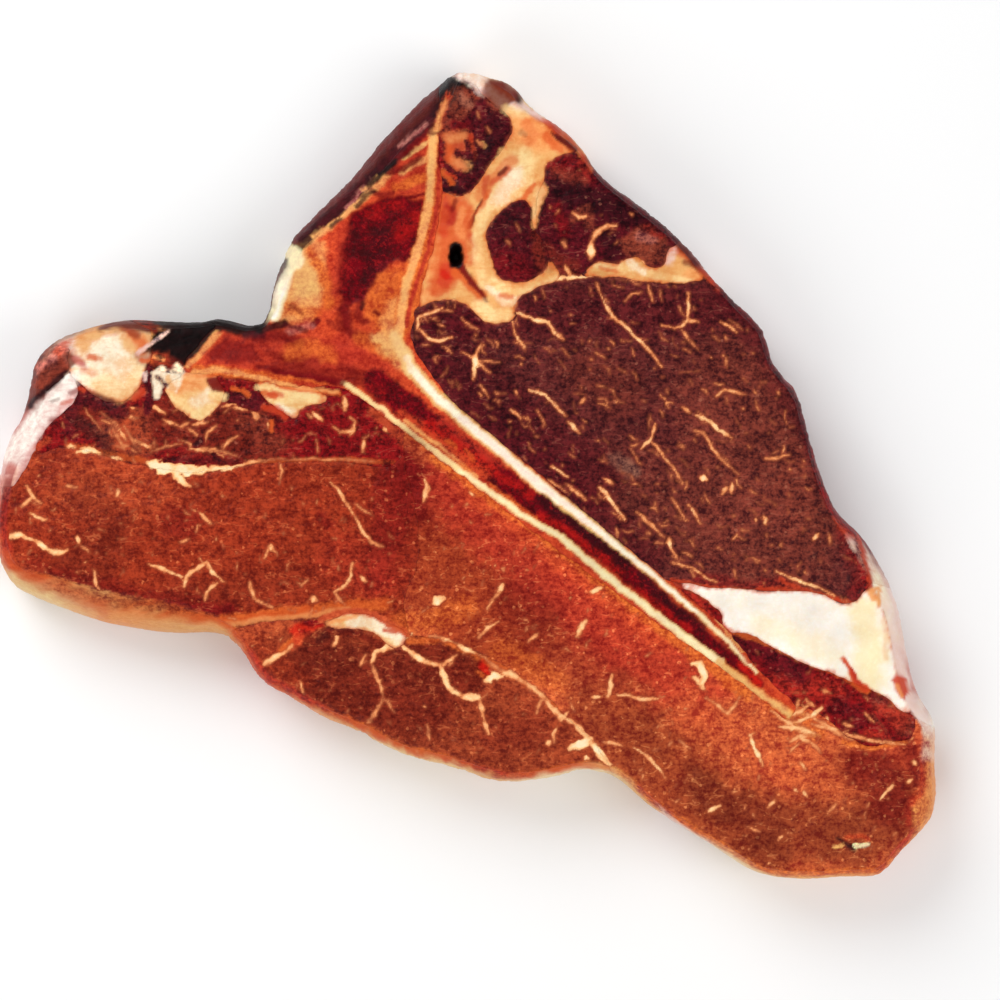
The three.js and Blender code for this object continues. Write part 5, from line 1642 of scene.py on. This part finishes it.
def fat(name, stain, contrast, scatter):
    """Fat: waxy, with soft clouds, thin stained threads and a granular skin."""
    work = Finish(name)
    tint = work.read("tint")
    cloud = work.noise(190, detail=4.0, roughness=0.6)
    grains = work.noise(900, detail=4.0, roughness=0.65)
    threads = work.noise(1.0, detail=3.0, roughness=0.6, where=work.stretched(35, long=120, across=620))
    stained = work.mix(1.0, tint, stain, "MULTIPLY")
    body = work.mix(work.ramp(cloud, 0.42, 0.66, 0.0, contrast), tint, stained)
    body = work.mix(work.ramp(threads, 0.55, 0.7, 0.0, contrast * 0.8), body, stained)
    body = work.mix(work.ramp(grains, 0.5, 0.72, 0.0, contrast * 0.6), body, stained)
    pale = work.mix(1.0, tint, FAT_LIGHT, "MULTIPLY")
    body = work.mix(work.ramp(grains, 0.48, 0.3, 0.0, 0.6), body, pale)
    height = work.sum(work.times(grains, 0.7), work.times(threads, 0.5))
    rough = work.ramp(cloud, 0.3, 0.7, 0.36, 0.52)
    return work.finish(body, height, rough, strength=0.35, distance=0.4 * MM,
                       Specular_IOR_Level=0.12, IOR=1.45, Subsurface_Weight=scatter,
                       Subsurface_Radius=(1.0, 0.6, 0.35), Subsurface_Scale=0.6 * MM)


def bone_finish(name):
    """Sawn bone: streaky with red marrow, granular where it is orange, smooth on its pale walls."""
    work = Finish(name)
    tint, marrow = work.read("tint"), work.read("marrow")
    paleness = work.add("ShaderNodeSeparateColor", {"Color": tint}).outputs["Green"]
    cloud = work.noise(300, detail=5.0, roughness=0.62)
    grains = work.noise(1200, detail=3.0, roughness=0.65)
    saw = work.noise(1.0, detail=2.0, roughness=0.5, where=work.stretched(-52, long=110, across=700))
    mottle = work.sum(work.sum(work.times(cloud, 0.5), work.times(grains, 0.34)), work.times(saw, 0.16))
    low = work.mix(1.0, tint, BONE_DARK, "MULTIPLY")
    high = work.mix(1.0, tint, BONE_LIGHT, "MULTIPLY")
    spongy = work.mix(work.ramp(mottle, 0.38, 0.62), low, high)
    body = work.mix(work.ramp(paleness, 0.15, 0.45, 1.0, 0.2), tint, spongy)
    # the marrow has darker hollows and fresh red spots
    red = work.times(marrow, work.ramp(paleness, 0.08, 0.03))
    hollows = work.times(red, work.ramp(mottle, 0.5, 0.4))
    body = work.mix(work.times(hollows, 0.6), body, MARROW_HOLLOW)
    bright = work.times(red, work.times(work.ramp(grains, 0.52, 0.62), work.ramp(cloud, 0.48, 0.6)))
    body = work.mix(work.times(bright, 0.35), body, MARROW_FRESH)
    height = work.sum(work.sum(work.times(mottle, 0.8), work.times(saw, 0.3)), work.times(hollows, -0.4))
    rough = work.ramp(cloud, 0.3, 0.7, 0.38, 0.56)
    return work.finish(body, height, rough, strength=0.45, distance=0.5 * MM,
                       Specular_IOR_Level=0.08, IOR=1.45)


def skin(name, dark, light, gloss):
    """Membranes and dried tissue: wrinkled, blotched and partly shiny."""
    work = Finish(name)
    tint = work.read("tint")
    cloud = work.noise(330, detail=4.0, roughness=0.65)
    creases = work.noise(1.0, detail=4.0, roughness=0.6, where=work.stretched(50, long=260, across=900))
    low = work.mix(1.0, tint, dark, "MULTIPLY")
    high = work.mix(1.0, tint, light, "MULTIPLY")
    mottle = work.sum(work.times(cloud, 0.6), work.times(creases, 0.4))
    body = work.mix(work.ramp(mottle, 0.40, 0.60), low, high)
    rough = work.ramp(cloud, 0.3, 0.7, gloss, gloss + 0.18)
    return work.finish(body, mottle, rough, strength=0.55, distance=0.6 * MM,
                       Specular_IOR_Level=0.1, IOR=1.42)


def plain(name, shade, roughness):
    """One even colour."""
    work = Finish(name)
    return work.finish((*shade, 1.0), work.noise(40, detail=2.0), roughness, strength=0.02,
                       distance=0.2 * MM)


# ---------------------------------------------------------------- operators


class PieceOperator:
    """What the operators share: each builds its pieces on their nodes with one finish."""

    bl_options = {"REGISTER", "UNDO"}
    slot = ""
    pieces = ()                 # node and the piece's own name

    def build(self, material):
        """Makes every piece of the group."""
        for node, name in self.pieces:
            make_piece(node, name, material)
        return {"FINISHED"}


class STEAK_OT_bone(PieceOperator, bpy.types.Operator):
    """Sawn T-shaped bone with its marrow"""

    bl_idname = "steak.bone"
    bl_label = "Bone"
    slot = "bone"
    pieces = (("t_bone", "sawn_bone"),)

    def execute(self, context):
        return self.build(bone_finish("sawn_bone"))


class STEAK_OT_dark_meat(PieceOperator, bpy.types.Operator):
    """Strip loin and the other dark muscles"""

    bl_idname = "steak.dark_meat"
    bl_label = "Dark meat"
    slot = "dark_muscle"
    pieces = (("strip_loin", "strip_loin_meat"), ("tip_muscle", "tip_meat"),
              ("inner_back_muscle", "inner_back_meat"), ("outer_back_muscle", "outer_back_meat"),
              ("sliver_muscle", "sliver_meat"), ("flank_muscle", "flank_meat"),
              ("upper_band_muscle", "upper_band_meat"))

    def execute(self, context):
        return self.build(meat("dark_meat", dark=(0.38, 0.30, 0.48), light=(1.9, 2.2, 1.8),
                               speck=(0.36, 0.125, 0.075), chance=0.36, fibre_turn=42, gloss=0.36,
                               plain_from=0.26))


class STEAK_OT_brown_meat(PieceOperator, bpy.types.Operator):
    """Wide left muscle and tenderloin"""

    bl_idname = "steak.brown_meat"
    bl_label = "Brown meat"
    slot = "brown_muscle"
    pieces = (("left_eye_muscle", "left_eye_meat"), ("tenderloin", "tenderloin_meat"))

    def execute(self, context):
        return self.build(meat("brown_meat", dark=(0.52, 0.36, 0.44), light=(1.45, 1.85, 1.6),
                               speck=(0.64, 0.22, 0.08), chance=0.36, fibre_turn=-30, gloss=0.36,
                               plain_from=0.42))


class STEAK_OT_red_meat(PieceOperator, bpy.types.Operator):
    """Long red muscle under the bone"""

    bl_idname = "steak.red_meat"
    bl_label = "Red meat"
    slot = "red_muscle"
    pieces = (("long_band_muscle", "long_band_meat"),)

    def execute(self, context):
        return self.build(meat("red_meat", dark=(0.58, 0.34, 0.46), light=(1.36, 1.95, 1.6),
                               speck=(0.8, 0.36, 0.13), chance=0.28, fibre_turn=-50, gloss=0.38,
                               plain_from=0.62))


class STEAK_OT_golden_fat(PieceOperator, bpy.types.Operator):
    """Golden fat round the back muscles and in the seams"""

    bl_idname = "steak.golden_fat"
    bl_label = "Golden fat"
    slot = "golden_fat"
    pieces = (("upper_fat", "tip_fat"), ("back_seam_fat", "back_fat"), ("seam_fat", "tenderloin_fat"),
              ("left_fat_pad", "left_pad_fat"), ("left_fat_island", "left_arm_fat"),
              ("right_fat_island", "right_arm_fat"))

    def execute(self, context):
        return self.build(fat("golden_fat", stain=(0.88, 0.6, 0.42), contrast=0.8, scatter=0.12))


class STEAK_OT_white_fat(PieceOperator, bpy.types.Operator):
    """Near-white wedge of fat"""

    bl_idname = "steak.white_fat"
    bl_label = "White fat"
    slot = "white_fat"
    pieces = (("fat_wedge", "wedge_fat"),)

    def execute(self, context):
        return self.build(fat("white_fat", stain=(0.97, 0.9, 0.78), contrast=0.55, scatter=0.15))


class STEAK_OT_skins(PieceOperator, bpy.types.Operator):
    """Membrane and silverskin on the left"""

    bl_idname = "steak.skins"
    bl_label = "Skins"

    def execute(self, context):
        mottled = skin("mottled_membrane", dark=(0.42, 0.3, 0.34), light=(1.7, 1.6, 1.35), gloss=0.38)
        make_piece("left_membrane", "mottled_membrane", mottled)
        silvery = skin("pale_silverskin", dark=(0.85, 0.68, 0.68), light=(1.06, 1.12, 1.12), gloss=0.34)
        make_piece("left_silverskin", "pale_silverskin", silvery)
        return {"FINISHED"}


class STEAK_OT_dried_tissue(PieceOperator, bpy.types.Operator):
    """Black dried tissue in the notch"""

    bl_idname = "steak.dried_tissue"
    bl_label = "Dried tissue"
    slot = "dried_tissue"
    pieces = (("dried_tissue", "black_tissue"),)

    def execute(self, context):
        return self.build(skin("black_tissue", dark=(0.3, 0.25, 0.3), light=(2.2, 1.9, 1.6), gloss=0.45))


# ---------------------------------------------------------------- stage


FLOOR_HALF = 1.5                        # metres from the middle of the floor to its edge
FLOOR_GAP = 0.2                         # the floor lies this far under the steak
FLOOR_SHADE = (0.93, 0.93, 0.93)
VIEW_MIDDLE = (8.5, -6.5, 24)           # middle of the view, at the height of the face
VIEW_WIDTH = 250.0
FOCAL, FILM = 100.0, 36.0               # focal length and width of the film
# Name, direction round the steak and height above it in degrees, then distance and size in metres
# and power in watts.
LIGHTS = (("key_light", 125, 42, 0.9, 0.6, 4.9),
          ("fill_light", -20, 40, 1.0, 0.7, 3.6),
          ("back_light", 235, 40, 1.0, 0.7, 3.2))
SKY_SHADE, SKY_STRENGTH = (1, 1, 1, 1), 0.34


def add_floor(scene):
    """A plain pale floor, just clear of the underside."""
    body = bmesh.new()
    bmesh.ops.create_grid(body, x_segments=1, y_segments=1, size=FLOOR_HALF)
    bmesh.ops.translate(body, verts=body.verts, vec=(0, 0, -FLOOR_GAP * MM))
    mesh = bpy.data.meshes.new("floor")
    body.to_mesh(mesh)
    body.free()
    floor = bpy.data.objects.new("floor", mesh)
    scene.collection.objects.link(floor)
    mesh.materials.append(plain("floor", FLOOR_SHADE, 0.9))


def add_camera(scene):
    """The camera, straight above the steak."""
    camera = bpy.data.objects.new("camera", bpy.data.cameras.new("camera"))
    camera.data.lens, camera.data.sensor_width = FOCAL, FILM
    camera.location = Vector(VIEW_MIDDLE) * MM + Vector((0, 0, VIEW_WIDTH * MM * FOCAL / FILM))
    scene.collection.objects.link(camera)
    scene.camera = camera


def add_light(scene, name, around, above, distance, size, power):
    """A round soft light that points at the middle of the steak."""
    lamp = bpy.data.lights.new(name, "AREA")
    lamp.shape, lamp.size, lamp.energy = "DISK", size, power
    light = bpy.data.objects.new(name, lamp)
    around, above = math.radians(around), math.radians(above)
    light.location = distance * Vector((math.cos(around) * math.cos(above),
                                        math.sin(around) * math.cos(above), math.sin(above)))
    light.rotation_euler = (-light.location).to_track_quat("-Z", "Y").to_euler()
    scene.collection.objects.link(light)


class STEAK_OT_stage(bpy.types.Operator):
    """Pale floor, soft lights and the camera above the steak"""

    bl_idname = "steak.stage"
    bl_label = "Stage"
    bl_options = {"REGISTER", "UNDO"}

    def execute(self, context):
        add_floor(context.scene)
        add_camera(context.scene)
        for light in LIGHTS:
            add_light(context.scene, *light)
        world = bpy.data.worlds.new("studio")
        world.use_nodes = True
        background = world.node_tree.nodes["Background"]
        background.inputs["Color"].default_value = SKY_SHADE
        background.inputs["Strength"].default_value = SKY_STRENGTH
        context.scene.world = world
        context.scene.view_settings.view_transform = "Standard"
        return {"FINISHED"}


PIECE_OPERATORS = (STEAK_OT_bone, STEAK_OT_dark_meat, STEAK_OT_brown_meat, STEAK_OT_red_meat,
                   STEAK_OT_golden_fat, STEAK_OT_white_fat, STEAK_OT_skins, STEAK_OT_dried_tissue,
                   STEAK_OT_stage)


class VIEW3D_PT_steak(bpy.types.Panel):
    """Builds the steak, piece by piece"""

    bl_label = "Raw T-bone steak"
    bl_space_type = "VIEW_3D"
    bl_region_type = "UI"
    bl_category = "Steak"

    def draw(self, context):
        """One button for each group of pieces and the stage, then the settings."""
        for operator in PIECE_OPERATORS:
            self.layout.operator(operator.bl_idname)
        for group in (context.scene.steak_sizes, context.scene.steak_colours):
            for title in group.bl_rna.properties.keys():
                if title not in ("rna_type", "name"):
                    self.layout.prop(group, title)


CLASSES = (SteakColours, SteakSizes, *PIECE_OPERATORS, VIEW3D_PT_steak)


def register():
    """Adds the classes and the settings to Blender."""
    for entry in CLASSES:
        bpy.utils.register_class(entry)
    bpy.types.Scene.steak_colours = PointerProperty(type=SteakColours)
    bpy.types.Scene.steak_sizes = PointerProperty(type=SteakSizes)


def unregister():
    """Takes the classes and the settings away again."""
    del bpy.types.Scene.steak_sizes
    del bpy.types.Scene.steak_colours
    for entry in reversed(CLASSES):
        bpy.utils.unregister_class(entry)


def main():
    """Builds every piece and the stage."""
    register()
    bpy.ops.steak.bone()
    bpy.ops.steak.dark_meat()
    bpy.ops.steak.brown_meat()
    bpy.ops.steak.red_meat()
    bpy.ops.steak.golden_fat()
    bpy.ops.steak.white_fat()
    bpy.ops.steak.skins()
    bpy.ops.steak.dried_tissue()
    bpy.ops.steak.stage()


if __name__ == "__main__":
    main()
